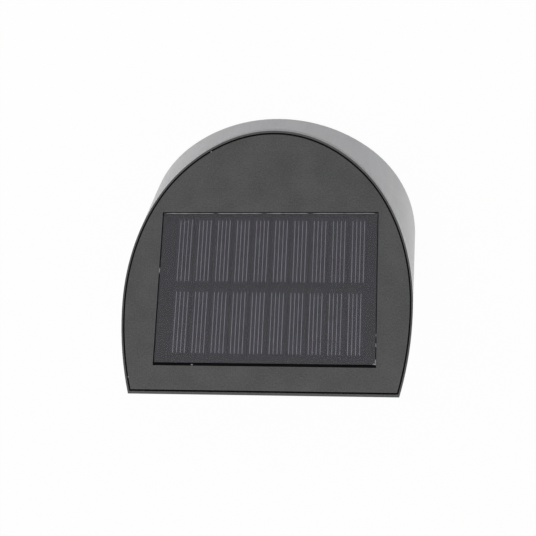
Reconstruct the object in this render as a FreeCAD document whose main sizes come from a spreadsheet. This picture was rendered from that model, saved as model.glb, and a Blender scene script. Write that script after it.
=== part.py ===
"""Solar fence light: a D-shaped wedge with a sloping solar cap, a frosted lens and a flat back.

Row frame, millimetres: +Z up, flat back towards +Y, curved front towards -Y, X across.
The origin is the centre of the base. A "drop" is a depth straight down below the sloping
top plane, and an "inset" is a distance inwards from the outer outline.
"""

import FreeCAD, Part
import math
import os
import re

import Sketcher
from FreeCAD import Placement, Rotation, Vector

SIZES = {
    # outer form
    "body_width": 110.0,
    "body_depth": 75.0,
    "back_height": 89.0,
    "front_height": 14.0,
    "shoulder_radius": 47.4,
    "flank_radius": 68.5,
    "nose_angle": 38.3,
    "wall": 2.0,
    "lens_joint": 16.0,
    # sloping cap
    "lip_width": 0.6,
    "groove_width": 0.6,
    "cover_flange": 0.8,
    "frame_web": 0.6,
    "frame_shelf": 3.2,
    "skirt_thickness": 1.0,
    "skirt_drop": 7.0,
    "wall_gap": 0.15,
    "cover_thickness": 2.2,
    "bead_width": 1.6,
    "bead_depth": 0.35,
    "seal_recess": 0.25,
    # solar panel, lengths along the slope
    "panel_side_margin": 13.7,
    "corner_clearance": 0.18,
    "panel_gap": 0.4,
    "panel_back_gap": 1.3,
    "pocket_start": 11.0,
    "pocket_depth": 2.1,
    "pocket_floor": 1.2,
    "pocket_wall": 0.8,
    "tape_width": 6.0,
    "tape_thickness": 0.4,
    "board_thickness": 1.2,
    "cell_row_gap": 2.1,
    "cell_column_gap": 0.8,
    "cell_thickness": 0.15,
    "cell_edge": 2.2,
    "cell_back_edge": 3.1,
    "cell_side_edge": 4.8,
    "cell_shift": -0.8,
    "film_thickness": 0.2,
    "cell_columns": 10,
    # base
    "base_inset": 0.6,
    "base_flange": 0.8,
    "base_plug": 2.2,
    "seal_width": 0.6,
    "seal_height": 1.0,
    "seal_start": 1.4,
    # posts and screws
    "post_radius": 3.2,
    "post_clearance": 0.6,
    "front_post_inset": 5.8,
    "front_post_angle": 36.1,
    "rear_post_side": 13.0,
    "rear_post_back": 8.5,
    "rear_post_height": 14.0,
    "screw_radius": 1.4,
    "screw_clearance": 0.05,
    "screw_head_radius": 2.6,
    "screw_head_height": 1.3,
    "head_recess": 1.5,
    "head_clearance": 0.3,
    "base_screw_length": 10.0,
    "cap_screw_drop": 14.0,
    "cap_screw_length": 4.4,
    "cap_head_height": 0.9,
    "cap_head_recess": 1.1,
    "lug_width": 9.0,
    "lug_height": 10.0,
    "lug_depth": 2.6,
    "lug_side_gap": 1.5,
    "small_screw_radius": 1.0,
    "small_head_radius": 1.9,
    "small_head_height": 1.1,
    "cross_width": 0.7,
    "cross_depth": 0.7,
    # keyholes in the back
    "keyhole_spacing": 50.0,
    "keyhole_z": 56.0,
    "keyhole_rise": 7.0,
    "keyhole_entry_radius": 4.75,
    "keyhole_slot_radius": 2.4,
    "keyhole_pocket_width": 14.0,
    "keyhole_pocket_height": 21.0,
    "keyhole_pocket_depth": 6.5,
    "keyhole_pocket_wall": 1.4,
    # light engine
    "reflector_thickness": 1.6,
    "reflector_inset": 3.6,
    "reflector_drop": 8.5,
    "tray_thickness": 1.0,
    "led_board_width": 70.0,
    "led_board_height": 12.0,
    "led_board_z": 20.0,
    "led_board_thickness": 1.6,
    "led_pitch": 9.9,
    "led_width": 3.5,
    "led_height": 2.8,
    "led_depth": 1.9,
    "led_count": 6,
    "led_screw_edge": 3.5,
    "tray_screw_x": 20.0,
    "tray_screw_y": -20.0,
    "tray_screw_length": 2.6,
    "led_screw_length": 2.8,
    # control board
    "control_width": 56.0,
    "control_length": 24.0,
    "control_back_gap": 5.5,
    "control_z": 10.4,
    "control_thickness": 1.6,
    "standoff_radius": 2.6,
    "standoff_edge": 3.0,
    "board_screw_length": 5.0,
    "chip_width": 6.0,
    "chip_length": 5.0,
    "chip_height": 1.6,
    "chip_x": 12.0,
    "coil_radius": 3.4,
    "coil_height": 3.2,
    "coil_x": -11.0,
    "capacitor_radius": 2.5,
    "capacitor_height": 7.0,
    "capacitor_x": -12.0,
    "capacitor_offset": 7.0,
    # button and switch
    "button_radius": 4.5,
    "button_play": 0.06,
    "button_recess": 1.0,
    "button_flange_radius": 6.0,
    "button_flange_height": 1.0,
    "button_travel": 0.9,
    "stem_radius": 1.7,
    "stem_length": 4.0,
    "switch_width": 8.0,
    "switch_height": 4.2,
    "button_dish": 0.5,
    "button_dish_radius": 12.0,
    "finger_recess_radius": 7.0,
    "finger_recess_depth": 0.6,
    "spring_radius": 3.0,
    "spring_wire": 0.3,
    "spring_turns": 3,
    # battery
    "cell_can_radius": 9.0,
    "cell_can_length": 65.0,
    "sleeve_thickness": 0.12,
    "battery_z": 36.0,
    "holder_wall": 1.5,
    "holder_clearance": 0.3,
    "contact_thickness": 0.4,
    "battery_spring_length": 5.0,
    "battery_spring_radius": 4.5,
    "battery_spring_wire": 0.8,
    "battery_spring_turns": 4,
    "battery_nub_radius": 2.8,
    "battery_nub_height": 1.4,
    "contact_width": 14.0,
    "holder_screw_x": 24.0,
    "holder_screw_rise": 7.0,
    "holder_screw_length": 3.1,
    # leads
    "lead_radius": 0.6,
    "lead_pitch": 3.0,
    "lead_clearance": 0.3,
    "panel_lead_edge": 4.6,
    "led_lead_edge": 2.5,
    "led_lead_x": 3.0,
    "battery_lead_x": 33.0,
    "battery_lead_edge": 8.0,
    "battery_lead_bend_z": 18.5,
}

FORMULAS = {
    "cap_slope": "atan((back_height - front_height) / body_depth)",
    "half_depth": "body_depth / 2",
    "nose_radius": "shoulder_radius + shoulder_x / sin(nose_angle)",
    "shoulder_x": "body_width / 2 - shoulder_radius",
    "nose_y": "nose_radius - half_depth",
    "shoulder_y": "nose_y - (nose_radius - shoulder_radius) * cos(nose_angle)",
    "flank_x": "body_width / 2 - flank_radius",
    "side_drop": "(cover_flange + frame_web) / cos(cap_slope)",
    "flange_drop": "cover_flange / cos(cap_slope)",
    "bead_drop": "(cover_flange + bead_depth) / cos(cap_slope)",
    "seal_drop": "seal_recess / cos(cap_slope)",
    "cover_drop": "cover_thickness / cos(cap_slope)",
    "skirt_inset": "wall + wall_gap",
    "cover_inset": "lip_width + groove_width",
    "plate_inset": "frame_shelf + wall_gap",
    "post_drop": "cover_drop + wall",
    "base_top": "base_flange + base_plug",
    "joint_y": "half_depth - lens_joint",
    "inner_back": "half_depth - wall",
    "pocket_width": "panel_width + 2 * panel_gap",
    "pocket_length": "panel_length + panel_gap + panel_back_gap",
    "pocket_front": "pocket_start + pocket_length",
    "panel_front": "pocket_front - panel_gap",
    "panel_width": "body_width - 2 * panel_side_margin",
    "tray_half": "panel_width / 2 + panel_gap + pocket_wall",
    "corner_radius": "shoulder_radius - plate_inset - corner_clearance",
    "tray_front_y": "shoulder_y - sqrt(corner_radius^2 - (tray_half - shoulder_x)^2)",
    "tray_end": "(half_depth - tray_front_y) / cos(cap_slope)",
    "panel_length": "tray_end - pocket_start - panel_back_gap - panel_gap - pocket_wall",
    "cell_rows_length": "panel_length - cell_edge - cell_back_edge",
    "cell_length": "(cell_rows_length - cell_row_gap) / 2",
    "cell_pitch": "(panel_width - 2 * cell_side_edge + cell_column_gap) / cell_columns",
    "cell_width": "cell_pitch - cell_column_gap",
    "board_bottom": "tape_thickness - pocket_depth",
    "cell_bottom": "board_bottom + board_thickness",
    "front_post_reach": "shoulder_radius - front_post_inset",
    "front_post_x": "shoulder_x + front_post_reach * cos(front_post_angle)",
    "front_post_y": "shoulder_y - front_post_reach * sin(front_post_angle)",
    "rear_post_x": "body_width / 2 - rear_post_side",
    "rear_post_y": "half_depth - rear_post_back",
    "cap_screw_x": "(keyhole_spacing + keyhole_pocket_width + lug_width) / 2 + lug_side_gap",
    "cap_screw_z": "back_height - cap_screw_drop",
    "led_screw_x": "led_board_width / 2 - led_screw_edge",
    "screw_hole": "screw_radius + screw_clearance",
    "head_hole": "screw_head_radius + head_clearance",
    "small_hole": "small_screw_radius + screw_clearance",
    "tray_top": "base_top + tray_thickness",
    "tray_outline": "skirt_inset + wall_gap",
    "control_top": "control_z + control_thickness",
    "holder_screw_z": "battery_z + holder_screw_rise",
    "control_y": "inner_back - control_back_gap - control_length / 2",
    "control_front": "control_y - control_length / 2",
    "standoff_x": "control_width / 2 - standoff_edge",
    "standoff_y": "control_front + standoff_edge",
    "capacitor_y": "control_y + capacitor_offset",
    "panel_lead_y": "control_front + panel_lead_edge",
    "led_lead_y": "control_front + led_lead_edge",
    "battery_lead_end_x": "control_width / 2 - battery_lead_edge",
    "lug_pilot_start": "lug_back - 3 * lug_depth / 2",
    "stem_end": "stem_top + 2 * button_travel",
    "button_bore": "button_radius + button_play",
    "switch_bottom": "control_z - switch_height",
    "stem_bore": "stem_radius + button_play",
    "sleeve_radius": "cell_can_radius + sleeve_thickness",
    "holder_inner": "2 * (sleeve_radius + holder_clearance)",
    "battery_y": "inner_back - holder_wall - holder_inner / 2",
    "holder_room": "cell_can_length + battery_spring_length + 2 * contact_thickness + holder_clearance",
    "holder_length": "holder_room + 2 * holder_wall",
    "holder_front": "battery_y - cell_can_radius / 2",
    "holder_half": "holder_inner / 2 + holder_wall",
    "battery_left": "contact_thickness + battery_spring_length - holder_room / 2",
    "button_top": "base_top + button_play",
    "flange_top": "button_top + button_flange_height",
    "stem_top": "flange_top + stem_length",
    "lug_back": "half_depth - skirt_inset",
    "keyhole_low": "keyhole_z - keyhole_entry_radius - keyhole_pocket_wall",
    "keyhole_floor": "half_depth - keyhole_pocket_depth",
    "standoff_back_y": "2 * control_y - standoff_y",
    "lead_hole": "lead_radius + lead_clearance",
}

BEND_SHARE = 0.45  # of the shorter run beside a wire's corner

doc = FreeCAD.newDocument("fence_light")
sheet = doc.addObject("Spreadsheet::Sheet", "Sizes")
for row, (alias, number) in enumerate(SIZES.items(), start=1):
    sheet.set(f"A{row}", alias)
    sheet.set(f"B{row}", str(number))
    sheet.setAlias(f"B{row}", alias)
doc.recompute()
PARTS = []


# ---------------------------------------------------------------- expressions


def expand(text):
    """Spells an expression out in cells of the sheet."""

    def word(match):
        name = match.group(0)
        if name in FORMULAS:
            return f"({expand(FORMULAS[name])})"
        return f"Sizes.{name}" if name in SIZES else name

    return re.sub(r"[a-z]\w*", word, str(text))


def value(text):
    """The number that an expression gives now."""
    result = sheet.evalExpression(expand(text))
    return float(getattr(result, "Value", result))


def bind(target, **formulas):
    """Ties properties of an object to the sheet."""
    for name, text in formulas.items():
        target.setExpression(name, expand(text))


def place(target, x, y, z, axis=Vector(0, 0, 1), angle=0):
    """Puts an object at a point that follows the sheet."""
    target.Placement = Placement(Vector(value(x), value(y), value(z)), Rotation(axis, value(angle)))
    for letter, text in zip("xyz", (x, y, z)):
        target.setExpression(f"Placement.Base.{letter}", expand(text))
    if angle:
        target.setExpression("Placement.Rotation.Angle", expand(angle))
    return target


# ---------------------------------------------------------------- primitives and booleans

TURNS = {
    "z": (Vector(0, 0, 1), 0),
    "-z": (Vector(1, 0, 0), 180),
    "y": (Vector(-1, 0, 0), 90),
    "-y": (Vector(1, 0, 0), 90),
    "x": (Vector(0, 1, 0), 90),
}


def box(name, low, size):
    """A box from its low corner and its three lengths."""
    made = doc.addObject("Part::Box", name)
    bind(made, Length=size[0], Width=size[1], Height=size[2])
    return place(made, *low)


def centred_box(name, centre_x, low_y, low_z, size):
    """A box that is centred across on centre_x."""
    return box(name, (f"{centre_x} - ({size[0]}) / 2", low_y, low_z), size)


def rod(name, radius, length, at, towards="z"):
    """A cylinder that starts at a point and runs along an axis."""
    made = doc.addObject("Part::Cylinder", name)
    bind(made, Radius=radius, Height=length)
    axis, angle = TURNS[towards]
    return place(made, *at, axis, angle)


def slope_box(name, across, start, bottom, size):
    """A box on the slope: start is the distance down the slope from the back edge."""
    made = doc.addObject("Part::Box", name)
    bind(made, Length=size[0], Width=size[1], Height=size[2])
    foot = f"({start} + {size[1]})"
    y = f"half_depth - {foot} * cos(cap_slope) - ({bottom}) * sin(cap_slope)"
    z = f"back_height - {foot} * sin(cap_slope) + ({bottom}) * cos(cap_slope)"
    return place(made, f"{across} - ({size[0]}) / 2", y, z, Vector(1, 0, 0), "cap_slope")


def fuse(name, *shapes):
    """Joins shapes into one."""
    made = doc.addObject("Part::MultiFuse", name)
    made.Shapes = list(shapes)
    made.Refine = True
    return made


def cut(name, base, *tools):
    """Takes the tools away from the base."""
    made = doc.addObject("Part::Cut", name)
    made.Base = base
    made.Tool = tools[0] if len(tools) == 1 else fuse(f"{name}_tools", *tools)
    made.Refine = True
    return made


def common(name, *shapes):
    """Keeps what all the shapes share."""
    made = doc.addObject("Part::MultiCommon", name)
    made.Shapes = list(shapes)
    made.Refine = True
    return made


def group(name, *shapes):
    """Keeps several like solids together as one piece."""
    made = doc.addObject("Part::Compound", name)
    made.Links = list(shapes)
    return made


def part(label, made):
    """Names a finished piece and lists it for writing."""
    doc.recompute()
    made.Label = label
    PARTS.append(made)
    return made


def mirrored_pairs(x, y):
    """Two places, left and right."""
    return [("left", f"-({x})", y), ("right", x, y)]


# ---------------------------------------------------------------- sketches


def sketch_on(body, role, name, offset="0"):
    """A sketch on one of a body's own origin planes, raised by an offset."""
    sketch = body.newObject("Sketcher::SketchObject", name)
    plane = next(f for f in body.Origin.OriginFeatures if f.Role == role)
    sketch.AttachmentSupport = [(plane, "")]
    sketch.MapMode = "FlatFace"
    sketch.setExpression("AttachmentOffset.Base.z", expand(offset))
    return sketch


def dimension(sketch, kind, *where, formula):
    """A driving dimension that follows the sheet."""
    index = sketch.addConstraint(Sketcher.Constraint(kind, *where, value(formula)))
    sketch.setExpression(f"Constraints[{index}]", expand(formula))


def polygon(sketch, corners):
    """A closed outline through corners given as expressions."""
    points = [Vector(value(x), value(y), 0) for x, y in corners]
    lines = [
        sketch.addGeometry(Part.LineSegment(start, end))
        for start, end in zip(points, points[1:] + points[:1])
    ]
    for line, following in zip(lines, lines[1:] + lines[:1]):
        sketch.addConstraint(Sketcher.Constraint("Coincident", line, 2, following, 1))
    for line, (x, y) in zip(lines, corners):
        dimension(sketch, "DistanceX", -1, 1, line, 1, formula=x)
        dimension(sketch, "DistanceY", -1, 1, line, 1, formula=y)


def arc(sketch, x, y, radius, start, end):
    """An arc from its centre, radius and two angles in degrees."""
    circle = Part.Circle(Vector(x, y, 0), Vector(0, 0, 1), radius)
    return sketch.addGeometry(
        Part.ArcOfCircle(circle, math.radians(start), math.radians(end))
    )


def d_outline(sketch, inset):
    """The D-shaped outline, moved inwards: nose, two shoulders, two flanks, flat back."""
    angle = value("nose_angle")
    step = value(inset)
    back = value("half_depth") - step
    nose, shoulder, flank = (
        value(name) - step for name in ("nose_radius", "shoulder_radius", "flank_radius")
    )
    shoulder_x, shoulder_y, flank_x = (
        value(name) for name in ("shoulder_x", "shoulder_y", "flank_x")
    )
    lift = math.degrees(math.asin((back - shoulder_y) / flank))
    corner_x = flank_x + flank * math.cos(math.radians(lift))
    front = arc(sketch, 0, value("nose_y"), nose, 270 - angle, 270 + angle)
    right_shoulder = arc(sketch, shoulder_x, shoulder_y, shoulder, 270 + angle, 360)
    right_flank = arc(sketch, flank_x, shoulder_y, flank, 0, lift)
    line = Part.LineSegment(Vector(corner_x, back, 0), Vector(-corner_x, back, 0))
    chord = sketch.addGeometry(line)
    left_flank = arc(sketch, -flank_x, shoulder_y, flank, 180 - lift, 180)
    left_shoulder = arc(sketch, -shoulder_x, shoulder_y, shoulder, 180, 270 - angle)
    for one, other in (
        (front, right_shoulder),
        (right_shoulder, right_flank),
        (left_flank, left_shoulder),
        (left_shoulder, front),
    ):
        sketch.addConstraint(Sketcher.Constraint("Tangent", one, 2, other, 1))
    sketch.addConstraint(Sketcher.Constraint("Coincident", right_flank, 2, chord, 1))
    sketch.addConstraint(Sketcher.Constraint("Coincident", chord, 2, left_flank, 1))
    sketch.addConstraint(Sketcher.Constraint("PointOnObject", front, 3, -2))
    sketch.addConstraint(Sketcher.Constraint("Equal", right_shoulder, left_shoulder))
    sketch.addConstraint(Sketcher.Constraint("Equal", right_flank, left_flank))
    for shoulder_arc, flank_arc in ((right_shoulder, right_flank), (left_shoulder, left_flank)):
        sketch.addConstraint(Sketcher.Constraint("Horizontal", shoulder_arc, 3, flank_arc, 3))
    sketch.addConstraint(Sketcher.Constraint("Symmetric", chord, 1, chord, 2, -2))
    dimension(sketch, "DistanceY", -1, 1, front, 3, formula="nose_y")
    dimension(sketch, "DistanceX", -1, 1, right_shoulder, 3, formula="shoulder_x")
    dimension(sketch, "DistanceY", -1, 1, chord, 1, formula=f"half_depth - ({inset})")
    dimension(sketch, "Radius", front, formula=f"nose_radius - ({inset})")
    dimension(sketch, "Radius", right_shoulder, formula=f"shoulder_radius - ({inset})")
    dimension(sketch, "Radius", right_flank, formula=f"flank_radius - ({inset})")


def side_cut(body, name, corners):
    """Cuts a side-view outline, in Y and Z, right through a body."""
    sketch = sketch_on(body, "YZ_Plane", f"{name}_outline")
    polygon(sketch, corners)
    pocket = body.newObject("PartDesign::Pocket", name)
    pocket.Profile = sketch
    pocket.Type = "ThroughAll"
    pocket.Midplane = True
    return pocket


def drop_line(y, drop):
    """The height at y of a plane that lies a drop below the cap's top plane."""
    return f"back_height - (half_depth - ({y})) * tan(cap_slope) - ({drop})"


def cut_above(body, drop):
    """Cuts away all that lies above a plane parallel to the slope."""
    front, back = "-body_depth", "body_depth"
    side_cut(
        body,
        f"{body.Name}_top_cut",
        [
            (front, drop_line(front, drop)),
            (back, drop_line(back, drop)),
            (back, "3 * back_height"),
            (front, "3 * back_height"),
        ],
    )


def cut_below(body, drop):
    """Cuts away all that lies below a plane parallel to the slope."""
    front, back = "-body_depth", "body_depth"
    side_cut(
        body,
        f"{body.Name}_under_cut",
        [
            (front, drop_line(front, drop)),
            (front, "-3 * back_height"),
            (back, "-3 * back_height"),
            (back, drop_line(back, drop)),
        ],
    )


def d_prism(name, outer, low, high, inner=None):
    """An upright D-shaped prism between two heights, hollow if an inner inset is given."""
    body = doc.addObject("PartDesign::Body", name)
    sketch = sketch_on(body, "XY_Plane", f"{name}_outline", low)
    d_outline(sketch, outer)
    if inner is not None:
        d_outline(sketch, inner)
    pad = body.newObject("PartDesign::Pad", f"{name}_pad")
    pad.Profile = sketch
    pad.setExpression("Length", expand(f"({high}) - ({low})"))
    return body


def slab(name, outer, top, under=None, inner=None, low="0"):
    """A D-shaped prism under the slope: from one drop down to another, or to a height."""
    body = d_prism(name, outer, low, "2 * back_height", inner)
    cut_above(body, top)
    if under is not None:
        cut_below(body, under)
    doc.recompute()
    return body


# ---------------------------------------------------------------- tubes along a route


def arc_edge(start, control, end):
    """The arc between two points whose tangents meet at the control point."""
    middle = (start + end) * 0.5
    half_chord = (end - start).Length / 2
    cosine = half_chord / (control - start).Length
    return Part.Arc(start, middle + (control - middle) * (cosine / (1 + cosine)), end).toShape()


def tube(edges, start, tangent, radius):
    """A round tube along a chain of edges."""
    spine = Part.Wire(edges)
    profile = Part.Wire([Part.makeCircle(radius, start, tangent)])
    return spine.makePipeShell([profile], True, False)


def biarc(start, start_tangent, end, end_tangent):
    """Two arcs that leave start and reach end along given unit tangents."""
    across = end - start
    both = start_tangent + end_tangent
    spread = 2 * (1 - start_tangent.dot(end_tangent))
    along = across.dot(both)
    reach = (math.sqrt(along**2 + spread * across.dot(across)) - along) / spread
    first, last = start + start_tangent * reach, end - end_tangent * reach
    joint = (first + last) * 0.5
    return [arc_edge(start, first, joint), arc_edge(joint, last, end)]


def coil(name, radius, wire, length, turns, at, towards="z"):
    """A compression spring: one wire wound from a point along an axis."""
    mean, thickness = value(radius), value(wire) / 2
    rise = value(length) - 2 * thickness
    quarters = 4 * int(value(turns))
    climb = rise / (2 * math.pi * int(value(turns)))
    scale = 1 / math.hypot(mean, climb)

    def point(index):
        angle = index * math.pi / 2
        height = thickness + climb * angle
        return Vector(mean * math.cos(angle), mean * math.sin(angle), height)

    def tangent(index):
        angle = index * math.pi / 2
        return Vector(-mean * math.sin(angle), mean * math.cos(angle), climb) * scale

    edges = []
    for index in range(quarters):
        edges += biarc(point(index), tangent(index), point(index + 1), tangent(index + 1))
    made = doc.addObject("Part::Feature", name)
    made.Shape = tube(edges, point(0), tangent(0), thickness)
    return place(made, *at, *TURNS[towards])


def lead(name, route):
    """A wire along straight runs joined by arcs as large as the runs allow."""
    points = [Vector(*(value(number) for number in corner)) for corner in route]
    edges = []
    start = points[0]
    for before, corner, after in zip(points, points[1:], points[2:]):
        reach = BEND_SHARE * min((corner - before).Length, (after - corner).Length)
        enter = corner + (before - corner).normalize() * reach
        leave = corner + (after - corner).normalize() * reach
        edges += [Part.LineSegment(start, enter).toShape(), arc_edge(enter, corner, leave)]
        start = leave
    edges.append(Part.LineSegment(start, points[-1]).toShape())
    made = doc.addObject("Part::Feature", name)
    made.Shape = tube(edges, points[0], points[1] - points[0], value("lead_radius"))
    return made


# ---------------------------------------------------------------- fasteners


def screw(name, radius, length, head_radius, head_height, at, towards):
    """A cross-head screw: the head's underside sits at a point, the shank runs on."""
    x, y, z = at
    sign = {"z": ("0", "-"), "-z": ("0", "+"), "y": ("-", "0"), "-y": ("+", "0")}[towards]
    moved = [f"{axis} {mark} ({head_height})" if mark != "0" else axis
             for axis, mark in zip((y, z), sign)]
    top = (x, moved[0], moved[1])
    head = rod(f"{name}_head", head_radius, head_height, top, towards)
    shank = rod(f"{name}_shank", radius, length, at, towards)
    slots = []
    for index, (wide, tall) in enumerate((("cross_width", head_radius), (head_radius, "cross_width"))):
        if towards in ("z", "-z"):
            low_z = moved[1] if towards == "z" else f"{moved[1]} - cross_depth"
            low = (f"{x} - ({wide}) / 2", f"{y} - ({tall}) / 2", low_z)
            slots.append(box(f"{name}_slot_{index}", low, (wide, tall, "cross_depth")))
        else:
            low_y = moved[0] if towards == "y" else f"{moved[0]} - cross_depth"
            low = (f"{x} - ({wide}) / 2", low_y, f"{z} - ({tall}) / 2")
            slots.append(box(f"{name}_slot_{index}", low, (wide, "cross_depth", tall)))
    return cut(name, fuse(f"{name}_blank", head, shank), *slots)


def small_screws(label, places, length, towards):
    """A group of small cross-head screws."""
    made = [
        screw(f"{label}_{index}", "small_screw_radius", length, "small_head_radius",
              "small_head_height", at, towards)
        for index, at in enumerate(places)
    ]
    return part(label, group(label, *made))


BASE_SCREW_PLACES = [
    *mirrored_pairs("front_post_x", "front_post_y"),
    *mirrored_pairs("rear_post_x", "rear_post_y"),
]
STANDOFF_PLACES = [
    *mirrored_pairs("standoff_x", "standoff_y"),
    *mirrored_pairs("standoff_x", "standoff_back_y"),
]


# ---------------------------------------------------------------- housing


def lens_and_housing():
    """The walls: a frosted lens round the front and a dark housing behind the joint."""
    ring = slab("wall_ring", "0", "side_drop", inner="wall", low="base_flange")
    front_zone = box(
        "front_zone",
        ("-body_width", "-body_depth", "-back_height"),
        ("2 * body_width", "body_depth + joint_y", "3 * back_height"),
    )
    part("lens", common("lens", ring, front_zone))
    back_shell = cut("back_shell", ring, front_zone)
    added, removed = [], []
    for side, x, y in mirrored_pairs("rear_post_x", "rear_post_y"):
        added.append(rod(f"rear_post_{side}", "post_radius", "rear_post_height", (x, y, "base_top")))
        added.append(
            centred_box(f"rear_rib_{side}", x, y, "base_top",
                        ("wall", "inner_back + wall / 2 - rear_post_y", "rear_post_height"))
        )
        removed.append(
            rod(f"rear_pilot_{side}", "screw_hole", "base_screw_length", (x, y, "base_top - wall"))
        )
    for side, x, _ in mirrored_pairs("keyhole_spacing / 2", "0"):
        solid, hollow = keyhole(side, x)
        added.append(solid)
        removed.append(hollow)
    for side, x, _ in mirrored_pairs("cap_screw_x", "0"):
        hole_at = (x, "inner_back - wall", "cap_screw_z")
        recess_at = (x, "half_depth - cap_head_recess", "cap_screw_z")
        removed.append(rod(f"cap_hole_{side}", "screw_hole", "2 * wall", hole_at, "y"))
        removed.append(rod(f"cap_recess_{side}", "head_hole", "wall", recess_at, "y"))
    for side, x, _ in mirrored_pairs("holder_screw_x", "0"):
        pilot_at = (x, "inner_back - holder_wall + screw_clearance", "holder_screw_z")
        removed.append(
            rod(f"holder_pilot_{side}", "small_hole", "holder_screw_length", pilot_at, "y")
        )
    part("back_housing", cut("back_housing", fuse("back_blank", back_shell, *added), *removed))


def keyhole(side, x):
    """A closed pocket behind a keyhole, and the hole with its slot upwards."""
    solid = centred_box(
        f"keyhole_box_{side}", x, "keyhole_floor - keyhole_pocket_wall", "keyhole_low",
        ("keyhole_pocket_width", "keyhole_pocket_depth + keyhole_pocket_wall - wall / 2",
         "keyhole_pocket_height"),
    )
    room = centred_box(
        f"keyhole_room_{side}", x, "keyhole_floor", "keyhole_low + keyhole_pocket_wall",
        ("keyhole_pocket_width - 2 * keyhole_pocket_wall", "keyhole_pocket_depth - wall",
         "keyhole_pocket_height - 2 * keyhole_pocket_wall"),
    )
    reach = "2 * keyhole_pocket_depth"
    entry = rod(f"keyhole_entry_{side}", "keyhole_entry_radius", reach,
                (x, "keyhole_floor", "keyhole_z"), "y")
    slot = centred_box(f"keyhole_slot_{side}", x, "keyhole_floor", "keyhole_z",
                       ("2 * keyhole_slot_radius", reach, "keyhole_rise"))
    end = rod(f"keyhole_end_{side}", "keyhole_slot_radius", reach,
              (x, "keyhole_floor", "keyhole_z + keyhole_rise"), "y")
    return solid, fuse(f"keyhole_hollow_{side}", room, entry, slot, end)


def cap_frame():
    """The dark rim on top of the walls, with a shelf for the cover, a skirt, posts and lugs."""
    lip = slab("frame_lip", "0", "0", "side_drop", inner="lip_width")
    shelf = slab("frame_shelf_ring", "0", "flange_drop", "side_drop", inner="frame_shelf")
    skirt = slab("frame_skirt", "skirt_inset", "flange_drop", "skirt_drop",
                 inner="skirt_inset + skirt_thickness")
    bead = slab("seal_bead", "lip_width", "flange_drop", "bead_drop",
                inner="lip_width + bead_width")
    seal_edge = slab("seal_edge", "lip_width", "seal_drop", "flange_drop", inner="cover_inset")
    post_room = slab("post_room", "skirt_inset", "post_drop", low="base_top")
    added, removed = [lip, shelf, skirt], [bead]
    for side, x, y in mirrored_pairs("front_post_x", "front_post_y"):
        blank = rod(f"front_post_{side}", "post_radius", "back_height", (x, y, "base_top"))
        added.append(common(f"front_post_cut_{side}", blank, post_room))
        removed.append(
            rod(f"front_pilot_{side}", "screw_hole", "base_screw_length", (x, y, "base_top - wall"))
        )
    for side, x, _ in mirrored_pairs("cap_screw_x", "0"):
        added.append(
            centred_box(f"lug_{side}", x, "lug_back - lug_depth", "cap_screw_z - lug_height / 2",
                        ("lug_width", "lug_depth", "lug_height"))
        )
        removed.append(
            rod(f"lug_pilot_{side}", "screw_hole", "2 * lug_depth",
                (x, "lug_pilot_start", "cap_screw_z"), "y")
        )
    part("cap_frame", cut("cap_frame", fuse("frame_blank", *added), *removed))
    part("cover_seal", fuse("cover_seal", bead, seal_edge))


def solar_cover():
    """The sloping cover plate with the panel's pocket, sunk into the frame."""
    flange = slab("cover_flange_plate", "cover_inset", "0", "flange_drop")
    plate = slab("cover_plate", "plate_inset", "0", "cover_drop")
    tray = slope_box(
        "pocket_box", "0", "pocket_start - pocket_wall", "-pocket_depth - pocket_floor",
        ("pocket_width + 2 * pocket_wall", "pocket_length + 2 * pocket_wall",
         "pocket_depth + pocket_floor - cover_flange / 2"),
    )
    pocket = slope_box("pocket", "0", "pocket_start", "-pocket_depth",
                       ("pocket_width", "pocket_length", "2 * pocket_depth"))
    holes = [
        rod(f"panel_lead_hole_{side}", "lead_hole", "back_height", (x, y, "0"))
        for side, x, y in mirrored_pairs("lead_pitch / 2", "panel_lead_y")
    ]
    part("solar_cover", cut("solar_cover", fuse("cover_blank", flange, plate, tray), pocket, *holes))


def solar_panel():
    """Tape, board, cell strips and clear film, stacked in the pocket."""
    start = "panel_front - panel_length"
    size = ("panel_width", "panel_length")
    tape_blank = slope_box("tape_blank", "0", start, "-pocket_depth", (*size, "tape_thickness"))
    tape_hole = slope_box("tape_hole", "0", f"{start} + tape_width", "-2 * pocket_depth",
                          ("panel_width - 2 * tape_width", "panel_length - 2 * tape_width",
                           "4 * pocket_depth"))
    part("panel_tape", cut("panel_tape", tape_blank, tape_hole))
    board = slope_box("panel_board", "0", start, "board_bottom", (*size, "board_thickness"))
    part("panel_board", board)
    columns = SIZES["cell_columns"]
    strips = [
        slope_box(
            f"cell_{row}_{column}",
            f"cell_shift + ({column} - ({columns} - 1) / 2) * cell_pitch",
            f"panel_front - cell_edge - cell_length - {row} * (cell_length + cell_row_gap)",
            "cell_bottom",
            ("cell_width", "cell_length", "cell_thickness"),
        )
        for row in range(2)
        for column in range(columns)
    ]
    cells = part("solar_cells", group("solar_cells", *strips))
    film = slope_box("film_blank", "0", start, "cell_bottom",
                     (*size, "cell_thickness + film_thickness"))
    part("panel_film", cut("panel_film", film, cells))


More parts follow.
